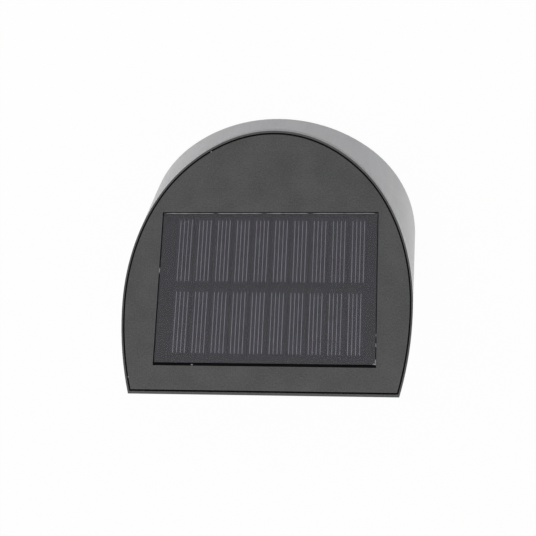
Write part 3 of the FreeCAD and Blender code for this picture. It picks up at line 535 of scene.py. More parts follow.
class Finishes:
    """Every finish of the light, built once and handed out by name."""

    def __init__(self) -> None:
        """Builds the materials."""
        finishes = (
            MouldedPlastic("dark_plastic", srgb(62, 62, 63), 0.5, 0.35, 0.25, 0.4),
            MouldedPlastic("cover_plastic", srgb(67, 67, 68), 0.55, 0.35, 0.34, 0.5),
            # the rim's upright sides are twice as pale in colour: a painted sheen
            MouldedPlastic(
                "rim_plastic", srgb(70, 70, 71), 0.5, 0.35, 0.25, 0.4, polish=1.0, painted_side_sheen=2.0
            ),
            FrostedPlastic("frosted_lens", srgb(158, 158, 161)),
            MouldedPlastic("white_plastic", srgb(226, 226, 222), 0.35, 0.5, 0.02),
            ClearLaminate("panel_film", srgb(72, 71, 77)),
            Silicon("panel_board", srgb(51, 51, 55), srgb(54, 53, 58), 7.0),
            Silicon("silicon", srgb(53, 53, 57), srgb(57, 56, 63)),
            PlatedMetal("silver_print", srgb(122, 120, 129), 0.5),
            SoftRubber("tape", srgb(70, 70, 70), 0.9, 0.3),
            # near black: rubber, made darker still as painted shade in the cap's groove and the
            # panel's back gap
            SoftRubber("seal_rubber", srgb(10, 10, 10), 0.9, 0.5, 0.0, 0.1),
            MouldedPlastic("button_plastic", srgb(84, 84, 86), 0.45, 0.4),
            PlatedMetal("screw_steel", srgb(176, 177, 180), 0.3),
            PlatedMetal("spring_steel", srgb(190, 190, 192), 0.22),
            SolderMask("circuit_board", srgb(24, 88, 52)),
            SolderMask("lamp_board", srgb(226, 226, 222)),
            SolderMask("board_tracks", srgb(46, 124, 76)),
            SolderMask("lamp_tracks", srgb(204, 204, 199)),
            SoftRubber("lamp", srgb(236, 214, 110), 0.35, 0.2, 0.0),
            MouldedPlastic("black_component", srgb(34, 34, 35), 0.5),
            PlatedMetal("capacitor_can", srgb(200, 201, 205), 0.3),
            PlatedMetal("battery_steel", srgb(196, 196, 194), 0.25),
            SoftRubber("battery_sleeve", srgb(44, 92, 150), 0.3, 1.2, 0.0),
            SoftRubber("red_wire", srgb(170, 30, 28), 0.45, 0.4, 0.05),
            SoftRubber("black_wire", srgb(28, 28, 28), 0.45, 0.4, 0.05),
            PlatedMetal("solder", srgb(186, 187, 190), 0.28),
            PlatedMetal("copper", srgb(184, 108, 62), 0.28, srgb(110, 60, 40)),
            # pale grey: the glue drops, and the painted highlight along the panel's front edge
            MouldedPlastic("glue_and_edge_highlight", srgb(118, 117, 121), 0.4, 0.5, 0.2, 0.4),
        )
        self.materials = {finish.name: finish.build() for finish in finishes}

    def __getitem__(self, name: str) -> bpy.types.Material:
        """The material of that name."""
        return self.materials[name]


# ---------------------------------------------------------------- making pieces


def as_mesh(name: str, shape: Shape) -> bpy.types.Mesh:
    """Turns a shape, which is used up, into a mesh of that name."""
    mesh = bpy.data.meshes.new(name)
    shape.to_mesh(mesh)
    shape.free()
    return mesh


def linked(name: str, data: bpy.types.ID) -> bpy.types.Object:
    """Makes an object of a mesh, a lamp or a camera and puts it in the scene."""
    made = bpy.data.objects.new(name, data)
    bpy.context.scene.collection.objects.link(made)
    return made


@dataclass(frozen=True)
class Workshop:
    """Turns shapes into finished pieces of the light."""

    finishes: Finishes
    weld: float = 2e-6
    flat_degrees: float = 0.3
    edge_degrees: float = 38.0

    def piece(
        self,
        name: str,
        shape: Shape,
        finish: str,
        place: Matrix = Matrix.Identity(4),
        body: Body = Body.HOUSING,
        replaces: tuple[str, ...] = (),
        slot: str | None = None,
    ) -> bpy.types.Object:
        """Makes an object of a shape, lays it in place and hangs it on a body.

        Args:
            name: The piece's name.
            shape: The shape, which is used up.
            finish: The finish's name.
            place: From the shape's own frame to the model's, in metres.
            body: The body that it rides on.
            replaces: The nodes that it stands for.
            slot: Not used.

        Returns:
            The finished piece.
        """
        shape.transform(place)
        mesh = as_mesh(name, shape)
        for face in mesh.polygons:
            face.use_smooth = True
        mesh.set_sharp_from_angle(angle=math.radians(self.edge_degrees))
        mesh.materials.append(self.finishes[finish])
        made = linked(name, mesh)
        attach(made, body.value)
        if replaces:
            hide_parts(*replaces)
        LOG.info("%s: %d faces, %s", name, len(mesh.polygons), finish)
        return made

    def dress(self, finish: str, *nodes: str) -> None:
        """Gives nodes of the model their finish."""
        for node in nodes:
            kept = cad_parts[node]
            for place in kept.material_slots:
                place.material = self.finishes[finish]
            LOG.info("%s: kept, %s", node, finish)

    def merged_copy(self, node: str) -> Shape:
        """A copy of a node's mesh with its triangles joined into flat faces."""
        shape = bmesh.new()
        shape.from_mesh(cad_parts[node].data)
        bmesh.ops.remove_doubles(shape, verts=shape.verts, dist=self.weld)
        bmesh.ops.dissolve_limit(
            shape,
            angle_limit=math.radians(self.flat_degrees),
            verts=shape.verts,
            edges=shape.edges,
        )
        bmesh.ops.recalc_face_normals(shape, faces=shape.faces)
        return shape

    def rounded(
        self,
        name: str,
        node: str,
        finish: str,
        radius_mm: float,
        body: Body = Body.HOUSING,
        segments: int = 2,
        slot: str | None = None,
    ) -> bpy.types.Object:
        """A node's shape with its sharp edges rounded, as a mould leaves them.

        Args:
            name: The piece's name.
            node: The node that it copies and stands for.
            finish: The finish's name.
            radius_mm: The rounding.
            body: The body that it rides on.
            segments: Steps across each rounding.
            slot: The record's material slot, if the finish isn't named after one.

        Returns:
            The finished piece.
        """
        shape = self.merged_copy(node)
        sharp = [
            edge
            for edge in shape.edges
            if len(edge.link_faces) == 2
            and edge.calc_face_angle() > math.radians(self.edge_degrees)
        ]
        bmesh.ops.bevel(
            shape,
            geom=sharp,
            offset=radius_mm * MM,
            segments=segments,
            profile=0.5,
            affect="EDGES",
            clamp_overlap=True,
            material=-1,
        )
        made = self.piece(name, shape, finish, body=body, replaces=(node,), slot=slot)
        shading = made.modifiers.new("even_shading", "WEIGHTED_NORMAL")
        shading.keep_sharp = True
        return made


@dataclass(frozen=True)
class SlopeFrame:
    """The sloping cap's own axes: across, up the slope and out of it."""

    slope_degrees: float = 45.0
    board_thickness: float = 1.2

    def board_length(self) -> float:
        """The panel board's length along the slope, in millimetres."""
        low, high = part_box("panel_board")
        angle = math.radians(self.slope_degrees)
        run = (high.y - low.y) / MM
        return (run - self.board_thickness * math.sin(angle)) / math.cos(angle)

    def on_board(self) -> Matrix:
        """From millimetres about the middle of the board's top to the model's frame."""
        low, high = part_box("panel_board")
        turn = Matrix.Rotation(math.radians(self.slope_degrees), 4, "X")
        lift = Matrix.Translation((0, 0, self.board_thickness / 2))
        return Matrix.Translation((low + high) / 2) @ turn @ TO_METRES @ lift


def strip(shape: Shape, across: float, along: float, size: Size, bottom: float = 0.0) -> None:
    """Adds a thin bar with softened top edges.

    Args:
        shape: The shape that it goes into.
        across: Its middle in X.
        along: Its middle in Y.
        size: Its width, length and thickness.
        bottom: The height that it lies on.
    """
    softening = 0.4
    made = bmesh.ops.create_cube(shape, size=1.0)["verts"]
    centre = Vector((across, along, bottom + size[2] / 2))
    bmesh.ops.scale(shape, vec=Vector(size), verts=made)
    bmesh.ops.translate(shape, vec=centre, verts=made)
    edges = list({edge for vert in made for edge in vert.link_edges})
    top = [edge for edge in edges if min(vert.co.z for vert in edge.verts) > centre.z]
    bmesh.ops.bevel(
        shape,
        geom=top,
        offset=min(size) * softening,
        segments=1,
        profile=0.5,
        affect="EDGES",
        material=-1,
    )


def turned(shape: Shape, profile: Profile, spot: Vector = Vector(), steps: int = 32) -> Shape:
    """Adds a form turned on a lathe, with its axis upright.

    Args:
        shape: The shape that it goes into.
        profile: Radius and height of each point, from one end of the axis to the other.
        spot: Where its foot goes.
        steps: Steps round the axis.

    Returns:
        The same shape.
    """
    before = set(shape.verts)
    points = [shape.verts.new((radius, 0.0, height)) for radius, height in profile]
    lines = [shape.edges.new(pair) for pair in zip(points, points[1:])]
    bmesh.ops.spin(
        shape,
        geom=[*points, *lines],
        axis=(0, 0, 1),
        cent=(0, 0, 0),
        angle=math.tau,
        steps=steps,
        use_merge=True,
    )
    made = [vert for vert in shape.verts if vert not in before]
    bmesh.ops.remove_doubles(shape, verts=made, dist=1e-4)
    made = [vert for vert in shape.verts if vert not in before]
    faces = list({face for vert in made for face in vert.link_faces})
    bmesh.ops.recalc_face_normals(shape, faces=faces)
    bmesh.ops.translate(shape, vec=spot, verts=made)
    return shape


def bead(
    shape: Shape,
    start: Vector,
    end: Vector,
    size: tuple[float, float],
    lumps: float = 0.7,
    pitch: float = 0.6,
    sides: int = 8,
) -> None:
    """Adds a pale bead that swells and thins along its run and has blunt ends; along the panel's
    front edge it is a painted highlight.

    Args:
        shape: The shape that it goes into.
        start: One end of its middle line.
        end: The other end.
        size: Its width and height.
        lumps: The share by which its size varies.
        pitch: The distance between its rings.
        sides: The corners of each ring.
    """
    bluntness, tip = 12, 0.02
    run = end - start
    count = max(3, round(run.length / pitch))
    upwards = Vector((0.0, 0.0, 1.0))
    across = run.cross(upwards).normalized()
    rings = []
    for index in range(count + 1):
        share = index / count
        centre = start + run * share
        swell = 1 + lumps * noise.noise(centre * 0.9)
        taper = math.sqrt(max(tip, 1 - abs(2 * share - 1) ** bluntness))
        wide, high = (extent / 2 * swell * taper for extent in size)
        spokes = (math.tau * side / sides for side in range(sides))
        places = (across * wide * math.cos(a) + upwards * high * math.sin(a) for a in spokes)
        rings.append([shape.verts.new(centre + place) for place in places])
    for ring, following in zip(rings, rings[1:]):
        for side in range(sides):
            other = (side + 1) % sides
            shape.faces.new((ring[side], ring[other], following[other], following[side]))
    shape.faces.new(rings[0])
    shape.faces.new(list(reversed(rings[-1])))
    bmesh.ops.recalc_face_normals(shape, faces=shape.faces)


def drop(shape: Shape, centre: Vector, size: Size, lumps: float = 0.45) -> None:
    """Adds a small uneven drop of glue."""
    made = bmesh.ops.create_icosphere(shape, subdivisions=2, radius=0.5)["verts"]
    for vert in made:
        vert.co *= 1 + lumps * noise.noise(vert.co * 2.6 + centre)
    bmesh.ops.scale(shape, vec=Vector(size), verts=made)
    bmesh.ops.translate(shape, vec=centre, verts=made)


def in_millimetres(node: str) -> tuple[Vector, Vector]:
    """A node's two corners in millimetres."""
    low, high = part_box(node)
    return low / MM, high / MM


# ---------------------------------------------------------------- the housing


@dataclass(frozen=True)
class Housing:
    """The lens, the back, the cap's rim and its cover, and the base, with rounded edges."""

    shop: Workshop
    lens_edge: float = 0.2
    rim_edge: float = 0.12
    cover_edge: float = 0.14
    back_edge: float = 0.35

    def build(self) -> None:
        """Builds and dresses the housing."""
        self.shop.rounded("lens_shell", "lens", "frosted_lens", self.lens_edge)
        self.shop.rounded("back_shell", "back_housing", "dark_plastic", self.back_edge)
        self.shop.rounded("rim", "cap_frame", "rim_plastic", self.rim_edge, slot="dark_plastic")
        self.shop.rounded("cover", "solar_cover", "cover_plastic", self.cover_edge)
        self.shop.rounded("base", "base_plate", "dark_plastic", self.rim_edge)
        self.shop.dress("seal_rubber", "cover_seal", "base_seal")


@dataclass(frozen=True)
class PrintedRow:
    """One row of printed fingers: their length, the row's squeeze across and its shift."""

    length: float
    squeeze: float
    shift: tuple[float, float]


@dataclass(frozen=True)
class SolarPanel:
    """The laminated panel: cell strips with printed fingers under a clear sheet."""

    shop: Workshop
    slope: SlopeFrame
    columns: int = 10
    rows: int = 2
    fingers: int = 4
    cell_pitch: float = 7.38
    cell_gap: float = 0.8
    cell_shift: float = -0.8
    cell_length: float = 26.0
    row_gap: float = 2.1
    edge: float = 2.2
    cell_thickness: float = 0.15
    finger_pitch: float = 1.48
    finger_width: float = 0.26
    finger_height: float = 0.02
    front_print: PrintedRow = PrintedRow(24.5, 1.0, (-0.1, 0.15))
    back_print: PrintedRow = PrintedRow(23.8, 0.987, (0.16, 0.6))
    print_turn_degrees: float = -0.3
    film_thickness: float = 0.2
    film_gap: float = 0.02

    def spots(self) -> list[tuple[float, float]]:
        """The middle of each cell strip, across and up the slope."""
        front = -self.slope.board_length() / 2 + self.edge + self.cell_length / 2
        left = self.cell_shift - (self.columns - 1) / 2 * self.cell_pitch
        step = self.cell_length + self.row_gap
        return [
            (left + column * self.cell_pitch, front + row * step)
            for row in range(self.rows)
            for column in range(self.columns)
        ]

    def cells(self) -> None:
        """The cell strips."""
        shape = bmesh.new()
        size = (self.cell_pitch - self.cell_gap, self.cell_length, self.cell_thickness)
        for across, along in self.spots():
            strip(shape, across, along, size)
        place = self.slope.on_board()
        self.shop.piece("cell_strips", shape, "silicon", place, replaces=("solar_cells",))

    def printed_fingers(self) -> None:
        """The fine printed conductors, four on each cell strip, printed a little askew."""
        shape = bmesh.new()
        for across, along in self.spots():
            row = self.back_print if along > 0 else self.front_print
            middle = across * row.squeeze + row.shift[0]
            size = (self.finger_width, row.length, self.finger_height)
            for finger in range(self.fingers):
                offset = (finger - (self.fingers - 1) / 2) * self.finger_pitch
                strip(shape, middle + offset, along + row.shift[1], size, self.cell_thickness)
        turn = Matrix.Rotation(math.radians(self.print_turn_degrees), 4, "Z")
        place = self.slope.on_board() @ turn
        self.shop.piece("printed_fingers", shape, "silver_print", place, slot="silicon")

    def clear_sheet(self) -> None:
        """The clear sheet, with its edges rounded over."""
        low, high = in_millimetres("panel_board")
        size = (high.x - low.x, self.slope.board_length(), self.film_thickness)
        bottom = self.cell_thickness + self.finger_height + self.film_gap
        shape = bmesh.new()
        strip(shape, 0.0, 0.0, size, bottom)
        place = self.slope.on_board()
        self.shop.piece("clear_sheet", shape, "panel_film", place, replaces=("panel_film",))

    def build(self) -> None:
        """Builds and dresses the panel."""
        self.cells()
        self.printed_fingers()
        self.clear_sheet()
        self.shop.dress("panel_board", "panel_board")
        self.shop.dress("tape", "panel_tape")


@dataclass(frozen=True)
class PanelTrim:
    """Around the panel in its pocket: a black fill in the back gap, which is painted shade,
    a pale bead along the front edge, which is a painted highlight, and drops of glue.

    Places are in millimetres on the panel board: across, up the slope and out of it.
    """

    shop: Workshop
    slope: SlopeFrame
    half_width: float = 41.3
    side_gap: float = 0.4
    back_gap: float = 1.3
    gap_depth: float = 1.6
    # how far the black fill of painted shade sits below the top and short of the gap's sides
    shade_fill_drop: float = 0.12
    shade_fill_margin: float = 0.02
    edge_height: float = 0.36
    edge_bead: tuple[float, float] = (0.34, 0.26)
    edge_runs: Profile = ((40.6, 21.5), (20.2, 2.8), (1.6, -14.9), (-16.4, -40.5))
    glue_spots: tuple[tuple[Size, Size], ...] = (
        ((-41.4, 28.9, 0.3), (0.5, 2.2, 0.4)),
        ((-41.0, 29.6, 0.3), (1.5, 0.5, 0.35)),
        ((-41.5, 22.3, 0.25), (0.36, 1.6, 0.4)),
        ((-41.5, 18.5, 0.25), (0.36, 1.2, 0.4)),
        ((41.5, -6.4, 0.25), (0.45, 2.0, 0.45)),
        ((26.9, 30.5, 0.0), (0.8, 0.6, 0.3)),
        ((24.1, -55.3, 0.3), (0.7, 0.8, 0.5)),
        ((50.5, 35.5, 0.3), (0.8, 1.0, 0.4)),
    )

    def back_gap_shade_fill(self) -> None:
        """A black fill in the gap behind the panel, a little below its top: painted shade for the
        deep gap.
        """
        back = self.slope.board_length() / 2
        size = (
            2 * (self.half_width + self.side_gap) - self.shade_fill_margin,
            self.back_gap - self.shade_fill_margin,
            self.gap_depth - self.shade_fill_drop,
        )
        shape = bmesh.new()
        strip(shape, 0.0, back + self.back_gap / 2, size, -self.gap_depth)
        self.shop.piece("back_gap_shade_fill", shape, "seal_rubber", self.slope.on_board())

    def front_edge_highlight_bead(self) -> None:
        """An uneven pale bead along the panel's lower edge: a painted highlight of that edge."""
        shape = bmesh.new()
        front = -self.slope.board_length() / 2 + self.edge_bead[0] / 2
        for run in self.edge_runs:
            start, end = (Vector((across, front, self.edge_height)) for across in run)
            bead(shape, start, end, self.edge_bead)
        self.shop.piece("front_edge_highlight_bead", shape, "glue_and_edge_highlight", self.slope.on_board(), slot="panel_film")

    def glue_drops(self) -> None:
        """Small drops of glue that were squeezed out when the cap was closed."""
        shape = bmesh.new()
        for place, size in self.glue_spots:
            drop(shape, Vector(place), size)
        self.shop.piece("glue_drops", shape, "glue_and_edge_highlight", self.slope.on_board(), slot="panel_film")

    def build(self) -> None:
        """Builds the trim."""
        self.back_gap_shade_fill()
        self.front_edge_highlight_bead()
        self.glue_drops()


@dataclass(frozen=True)
class PushButton:
    """The button in the base, its stem and its spring."""

    shop: Workshop
    edge: float = 0.25

    def build(self) -> None:
        """Builds and dresses the button."""
        self.shop.rounded("button_cap", "power_button", "button_plastic", self.edge, Body.BUTTON, 3)
        self.shop.dress("white_plastic", "switch_stem")
        self.shop.dress("spring_steel", "button_spring")


@dataclass(frozen=True)
class Fasteners:
    """The screws, with the edges of their heads softened."""

    shop: Workshop
    outside_edge: float = 0.12

    def build(self) -> None:
        """Dresses the screws."""
        for node in ("base_screws", "cap_screws"):
            self.shop.rounded(f"{node}_turned", node, "screw_steel", self.outside_edge)
        self.shop.dress("screw_steel", "board_screws", "tray_screws", "led_screws", "holder_screws")


@dataclass(frozen=True)
class LightEngine:
    """The reflector, the lamp board and its lamps."""

    shop: Workshop
    lamps: int = 6
    pitch: float = 9.9
    dome_radius: float = 1.15
    dome_height: float = 0.22
    dome_root: float = 0.1
    pad: Size = (0.9, 2.2, 0.25)
    track: Size = (58.0, 1.4, 0.05)
    track_offset: float = 3.4
    reflector_edge: float = 0.3
    lamp_edge: float = 0.25

    def middles(self) -> list[tuple[float, float]]:
        """The middle of each lamp, across and up."""
        low, high = in_millimetres("leds")
        first = -(self.lamps - 1) / 2
        return [((first + n) * self.pitch, (low.z + high.z) / 2) for n in range(self.lamps)]

    def facing(self, depth: float) -> Matrix:
        """From millimetres on an upright face at that depth to the model's frame."""
        turn = Matrix.Rotation(math.radians(90), 4, "X")
        return TO_METRES @ Matrix.Translation((0.0, depth, 0.0)) @ turn

    def domes(self) -> None:
        """The round yellow windows of the lamps, slightly domed."""
        rise, reach = self.dome_height, self.dome_radius
        profile = (
            (reach, -self.dome_root),
            (reach, rise * 0.2),
            (reach * 0.8, rise * 0.62),
            (reach * 0.45, rise * 0.92),
            (0.0, rise),
        )
        shape = bmesh.new()
        for across, up in self.middles():
            turned(shape, profile, Vector((across, up, 0.0)))
        front = in_millimetres("leds")[0].y
        self.shop.piece("lamp_domes", shape, "lamp", self.facing(front))

    def pads(self) -> None:
        """The soldered feet beside each lamp."""
        low, high = in_millimetres("leds")
        half = (high.x - low.x) / 2 - (self.lamps - 1) / 2 * self.pitch
        shape = bmesh.new()
        for across, up in self.middles():
            for side in (-1, 1):
                strip(shape, across + side * half, up, self.pad)
        self.shop.piece("lamp_feet", shape, "solder", self.facing(high.y), slot="screw_steel")

    def tracks(self) -> None:
        """The two supply tracks along the lamp board, raised under the lacquer."""
        up = self.middles()[0][1]
        board = in_millimetres("led_board")[0].y
        shape = bmesh.new()
        for side in (-1, 1):
            strip(shape, 0.0, up + side * self.track_offset, self.track)
        self.shop.piece("lamp_tracks", shape, "lamp_tracks", self.facing(board), slot="lamp_board")

    def build(self) -> None:
        """Builds and dresses the light engine."""
        self.shop.rounded("reflector_panel", "reflector", "white_plastic", self.reflector_edge)
        self.shop.dress("lamp_board", "led_board")
        self.shop.rounded("lamp_packages", "leds", "white_plastic", self.lamp_edge, slot="lamp")
        self.domes()
        self.pads()
        self.tracks()


@dataclass(frozen=True)
class Electronics:
    """The charging board with its parts, the battery and the wires."""

    shop: Workshop
    chip_edge: float = 0.22
    leg: Size = (0.42, 1.2, 0.18)
    legs_per_side: int = 4
    leg_pitch: float = 1.27
    wire: float = 0.36
    wire_sides: int = 8
    winding_radius: float = 2.75
    drum_waist: float = 2.45
    flange: float = 0.6
    crimp_height: float = 1.2
    crimp_reach: float = 0.3
    crimp_share: float = 0.92
    nub_radius: float = 2.8
    nub_rise: float = 1.4
    cell_steps: int = 64
    holder_edge: float = 0.25
    joint: Profile = ((0.0, 0.85), (0.66, 0.8), (0.75, 0.5), (1.0, 0.15), (1.2, 0.0), (0.0, 0.0))
    joint_steps: int = 20
    lead_radius: float = 0.6
    track_width: float = 0.6
    track_height: float = 0.05
    tracks: tuple[Profile, ...] = (
        ((1.5, 10.6), (1.5, 12.9), (10.1, 12.9), (10.1, 14.6)),
        ((-1.5, 10.6), (-1.5, 14.6), (-8.0, 14.6)),
        ((3.0, 8.5), (13.9, 8.5), (13.9, 14.6)),
        ((-3.0, 8.5), (-11.0, 8.5), (-11.0, 11.6)),
        ((20.0, 24.6), (12.6, 24.6), (12.6, 21.4)),
        ((-20.0, 24.6), (-14.0, 24.6)),
        ((10.1, 21.4), (10.1, 26.0), (-10.0, 26.0)),
        ((22.3, 7.4), (22.3, 28.6)),
        ((-22.3, 7.4), (-22.3, 28.6)),
    )

    def stand_on(self, node: str) -> tuple[Vector, float, float]:
        """The middle of a round part's foot, its radius and its height."""
        low, high = in_millimetres(node)
        foot = Vector(((low.x + high.x) / 2, (low.y + high.y) / 2, low.z))
        return foot, (high.x - low.x) / 2, high.z - low.z

    def chip(self) -> None:
        """The charging chip: a moulded body with a row of legs on each side."""
        self.shop.rounded("chip_body", "control_chip", "black_component", self.chip_edge)
        low, high = in_millimetres("control_chip")
        width, length, thickness = self.leg
        riser = (width, thickness, (high.z - low.z) / 2)
        first = (low.x + high.x) / 2 - (self.legs_per_side - 1) / 2 * self.leg_pitch
        shape = bmesh.new()
        for side, edge in ((-1, low.y), (1, high.y)):
            for index in range(self.legs_per_side):
                across = first + index * self.leg_pitch
                strip(shape, across, edge + side * length / 2, self.leg, low.z)
                strip(shape, across, edge + side * thickness / 2, riser, low.z)
        self.shop.piece("chip_legs", shape, "solder", TO_METRES, slot="screw_steel")

    def wire_section(self, lift: float) -> Profile:
        """The round section of one turn of the winding."""
        half = self.wire / 2
        angles = [math.tau * step / self.wire_sides for step in range(self.wire_sides + 1)]
        return tuple(
            (self.winding_radius + half * math.cos(a), lift + half * math.sin(a)) for a in angles
        )

    def choke(self) -> None:
        """The choke: a ferrite drum wound with copper wire."""
        foot, radius, height = self.stand_on("choke_coil")
        flange, waist = self.flange, self.drum_waist
        profile = (
            (0.0, 0.0),
            (radius, 0.0),
            (radius, flange),
            (waist, flange),
            (waist, height - flange),
            (radius, height - flange),
            (radius, height - 0.1),
            (radius - 0.15, height),
            (0.0, height),
        )
        drum = turned(bmesh.new(), profile, foot)
        self.shop.piece("choke_drum", drum, "black_component", TO_METRES, replaces=("choke_coil",))
        room = height - 2 * flange
        turns = int(room / self.wire)
        coil = bmesh.new()
        for index in range(turns):
            turned(coil, self.wire_section(flange + (index + 0.5) * room / turns), foot)
        self.shop.piece("choke_winding", coil, "copper", TO_METRES, slot="capacitor_can")

    def capacitor(self) -> None:
        """The capacitor: a can with a crimped groove and a rounded top."""
        foot, radius, height = self.stand_on("capacitor")
        profile = (
            (0.0, 0.0),
            (radius * 0.94, 0.0),
            (radius, 0.25),
            (radius, self.crimp_height - self.crimp_reach),
            (radius * self.crimp_share, self.crimp_height),
            (radius, self.crimp_height + self.crimp_reach),
            (radius, height - 0.35),
            (radius - 0.12, height - 0.1),
            (radius - 0.4, height),
            (radius * 0.6, height - 0.08),
            (0.0, height - 0.08),
        )
        can = turned(bmesh.new(), profile, foot)
        name, finish = "capacitor_turned", "capacitor_can"
        self.shop.piece(name, can, finish, TO_METRES, replaces=("capacitor",))

    def battery(self) -> None:
        """The round cell with its rolled shoulder and raised cap."""
        low, high = in_millimetres("battery_can")
        radius, length = (high.z - low.z) / 2, high.x - low.x
        nub, body = self.nub_radius, length - self.nub_rise
        profile = (
            (0.0, 0.0),
            (radius - 0.6, 0.0),
            (radius - 0.15, 0.15),
            (radius, 0.6),
            (radius, body - 0.7),
            (radius - 0.25, body - 0.15),
            (radius - 0.9, body),
            (radius - 1.6, body - 0.3),
            (nub + 0.5, body - 0.3),
            (nub, body),
            (nub, length - 0.2),
            (nub - 0.2, length),
            (0.0, length),
        )
        cell = turned(bmesh.new(), profile, steps=self.cell_steps)
        start = Vector((low.x, (low.y + high.y) / 2, (low.z + high.z) / 2))
        along = Matrix.Rotation(math.radians(90), 4, "Y")
        place = TO_METRES @ Matrix.Translation(start) @ along
        self.shop.piece("battery_cell", cell, "battery_steel", place, replaces=("battery_can",))

    def joint_spots(self, colour: str, side: int) -> list[tuple[float, float]]:
        """Where the three wires of one colour meet the charging board, across and along."""
        low, high = in_millimetres(f"panel_lead_{colour}")
        panel = ((low.x + high.x) / 2, (low.y + high.y) / 2)
        low, high = in_millimetres(f"battery_lead_{colour}")
        inner = low.x + self.lead_radius if side > 0 else high.x - self.lead_radius
        battery = (inner, (low.y + high.y) / 2)
        low, high = in_millimetres(f"led_lead_{colour}")
        return [panel, battery, ((low.x + high.x) / 2, high.y - self.lead_radius)]

    def solder_joints(self) -> None:
        """A cone of solder where each wire meets the charging board."""
        board = in_millimetres("control_board")[1].z
        shape = bmesh.new()
        for colour, side in (("red", 1), ("black", -1)):
            for spot in self.joint_spots(colour, side):
                turned(shape, self.joint, Vector((*spot, board)), self.joint_steps)
        self.shop.piece("solder_joints", shape, "solder", TO_METRES, slot="screw_steel")

    def board_tracks(self) -> None:
        """The tracks between the parts on the charging board, raised under the lacquer."""
        shape = bmesh.new()
        board = in_millimetres("control_board")[1].z
        width = self.track_width
        for route in self.tracks:
            for start, end in zip(route, route[1:]):
                middle = ((start[0] + end[0]) / 2, (start[1] + end[1]) / 2)
                run = (abs(end[0] - start[0]) + width, abs(end[1] - start[1]) + width)
                strip(shape, *middle, (*run, self.track_height), board)
        self.shop.piece("board_tracks", shape, "board_tracks", TO_METRES, slot="circuit_board")

    def build(self) -> None:
        """Builds and dresses the electronics."""
        self.shop.dress("circuit_board", "control_board")
        self.chip()
        self.choke()
        self.capacitor()
        self.battery()
        self.solder_joints()
        self.board_tracks()
        self.shop.dress("black_component", "switch_body")
        self.shop.rounded("holder_tray", "battery_holder", "dark_plastic", self.holder_edge)
        self.shop.dress("battery_steel", "battery_contacts")
        self.shop.dress("battery_sleeve", "battery_sleeve")
        self.shop.dress("spring_steel", "battery_spring")
        for colour in ("red", "black"):
            leads = (f"{use}_lead_{colour}" for use in ("panel", "battery", "led"))
            self.shop.dress(f"{colour}_wire", *leads)


# ---------------------------------------------------------------- the studio


def seen_rays(graph: Graph) -> Socket:
    """A mask of the rays that show a thing: straight, mirrored or let through."""
    paths = graph.add("LightPath").outputs
    seen = graph.maths("MAXIMUM", paths["Is Camera Ray"], paths["Is Glossy Ray"])
    return graph.maths("MAXIMUM", seen, paths["Is Transmission Ray"])


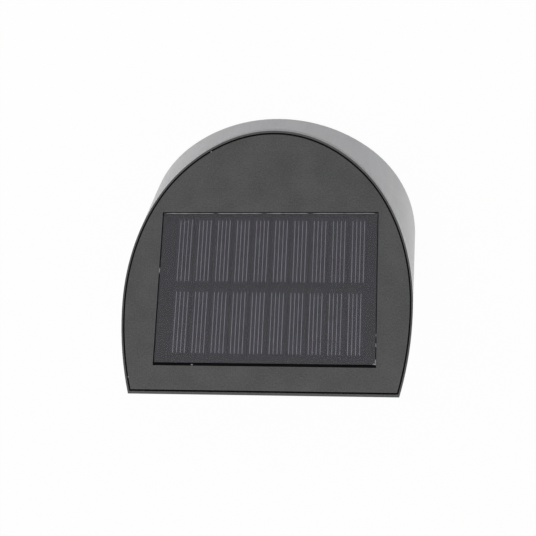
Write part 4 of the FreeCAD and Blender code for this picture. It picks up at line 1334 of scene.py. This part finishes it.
@dataclass(frozen=True)
class Studio:
    """A pale floor, soft light and the camera."""

    floor_size: float = 6.0
    floor_tone: float = 0.82
    floor_roughness: float = 0.9
    sky: float = 0.64
    backdrop_share: float = 0.96
    key_place: Size = (0.12, -0.5, 1.07)
    key_size: float = 0.9
    key_power: float = 4.95
    camera_mm: Size = (-61.85, -234.36, 524.79)
    looks_along: Size = (0.11616, 0.4465, -0.88721)
    image_up: Size = (0.00413, -0.89347, -0.44911)
    lens_mm: float = 94.03
    sensor_mm: float = 36.0
    nearest: float = 0.01

    def floor(self) -> None:
        """The floor, which shows white to the camera and keeps the light's shadow."""
        shape = bmesh.new()
        bmesh.ops.create_grid(shape, x_segments=1, y_segments=1, size=self.floor_size / 2)
        mesh = as_mesh("floor", shape)
        floor = linked("floor", mesh)
        material, graph, shader = new_material("pale_floor")
        graph.feed(shader, Base_Color=(self.floor_tone,) * 3, Roughness=self.floor_roughness)
        glow = graph.add("Emission", Color=(1.0, 1.0, 1.0), Strength=1.0)
        blend = graph.add("MixShader")
        graph.fill(blend.inputs[0], graph.times(seen_rays(graph), self.backdrop_share))
        graph.fill(blend.inputs[1], shader.outputs["BSDF"])
        graph.fill(blend.inputs[2], glow.outputs["Emission"])
        output = next(n for n in graph.tree.nodes if n.type == "OUTPUT_MATERIAL")
        graph.feed(output, Surface=blend.outputs["Shader"])
        mesh.materials.append(material)

    def world(self) -> None:
        """An even sky."""
        world = bpy.data.worlds.new("soft_sky")
        world.use_nodes = True
        graph = Graph(world.node_tree)
        strength = graph.spread(seen_rays(graph), self.sky, 1.0)
        back = graph.add("Background", Color=(1.0, 1.0, 1.0), Strength=strength)
        graph.add("OutputWorld", Surface=back.outputs["Background"])
        bpy.context.scene.world = world

    def key_light(self) -> None:
        """One broad lamp, high in front of the light."""
        lamp = bpy.data.lights.new("key_light", "AREA")
        lamp.size = self.key_size
        lamp.energy = self.key_power
        holder = linked("key_light", lamp)
        holder.location = self.key_place
        holder.rotation_euler = (-Vector(self.key_place)).to_track_quat("-Z", "Y").to_euler()

    def camera(self) -> None:
        """The camera, from above the cap with the curved front up in the picture."""
        data = bpy.data.cameras.new("camera")
        data.lens = self.lens_mm
        data.sensor_width = self.sensor_mm
        data.clip_start = self.nearest
        forward = Vector(self.looks_along).normalized()
        right = forward.cross(Vector(self.image_up)).normalized()
        up = right.cross(forward)
        turn = Matrix((right, up, -forward)).transposed().to_4x4()
        holder = linked("camera", data)
        holder.matrix_world = Matrix.Translation(Vector(self.camera_mm) * MM) @ turn
        bpy.context.scene.camera = holder

    def build(self) -> None:
        """Sets the studio up."""
        bpy.context.scene.view_settings.view_transform = "Standard"
        self.floor()
        self.world()
        self.key_light()
        self.camera()
        LOG.info("studio: floor, sky, key light and camera")


def main() -> None:
    """Builds every sub-assembly in order."""
    logging.basicConfig(level=logging.INFO, format="%(name)s %(message)s")
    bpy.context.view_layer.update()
    shop = Workshop(Finishes())
    Studio().build()
    Housing(shop).build()
    SolarPanel(shop, SlopeFrame()).build()
    PanelTrim(shop, SlopeFrame()).build()
    PushButton(shop).build()
    Fasteners(shop).build()
    LightEngine(shop).build()
    Electronics(shop).build()


if __name__ == "__main__":
    main()
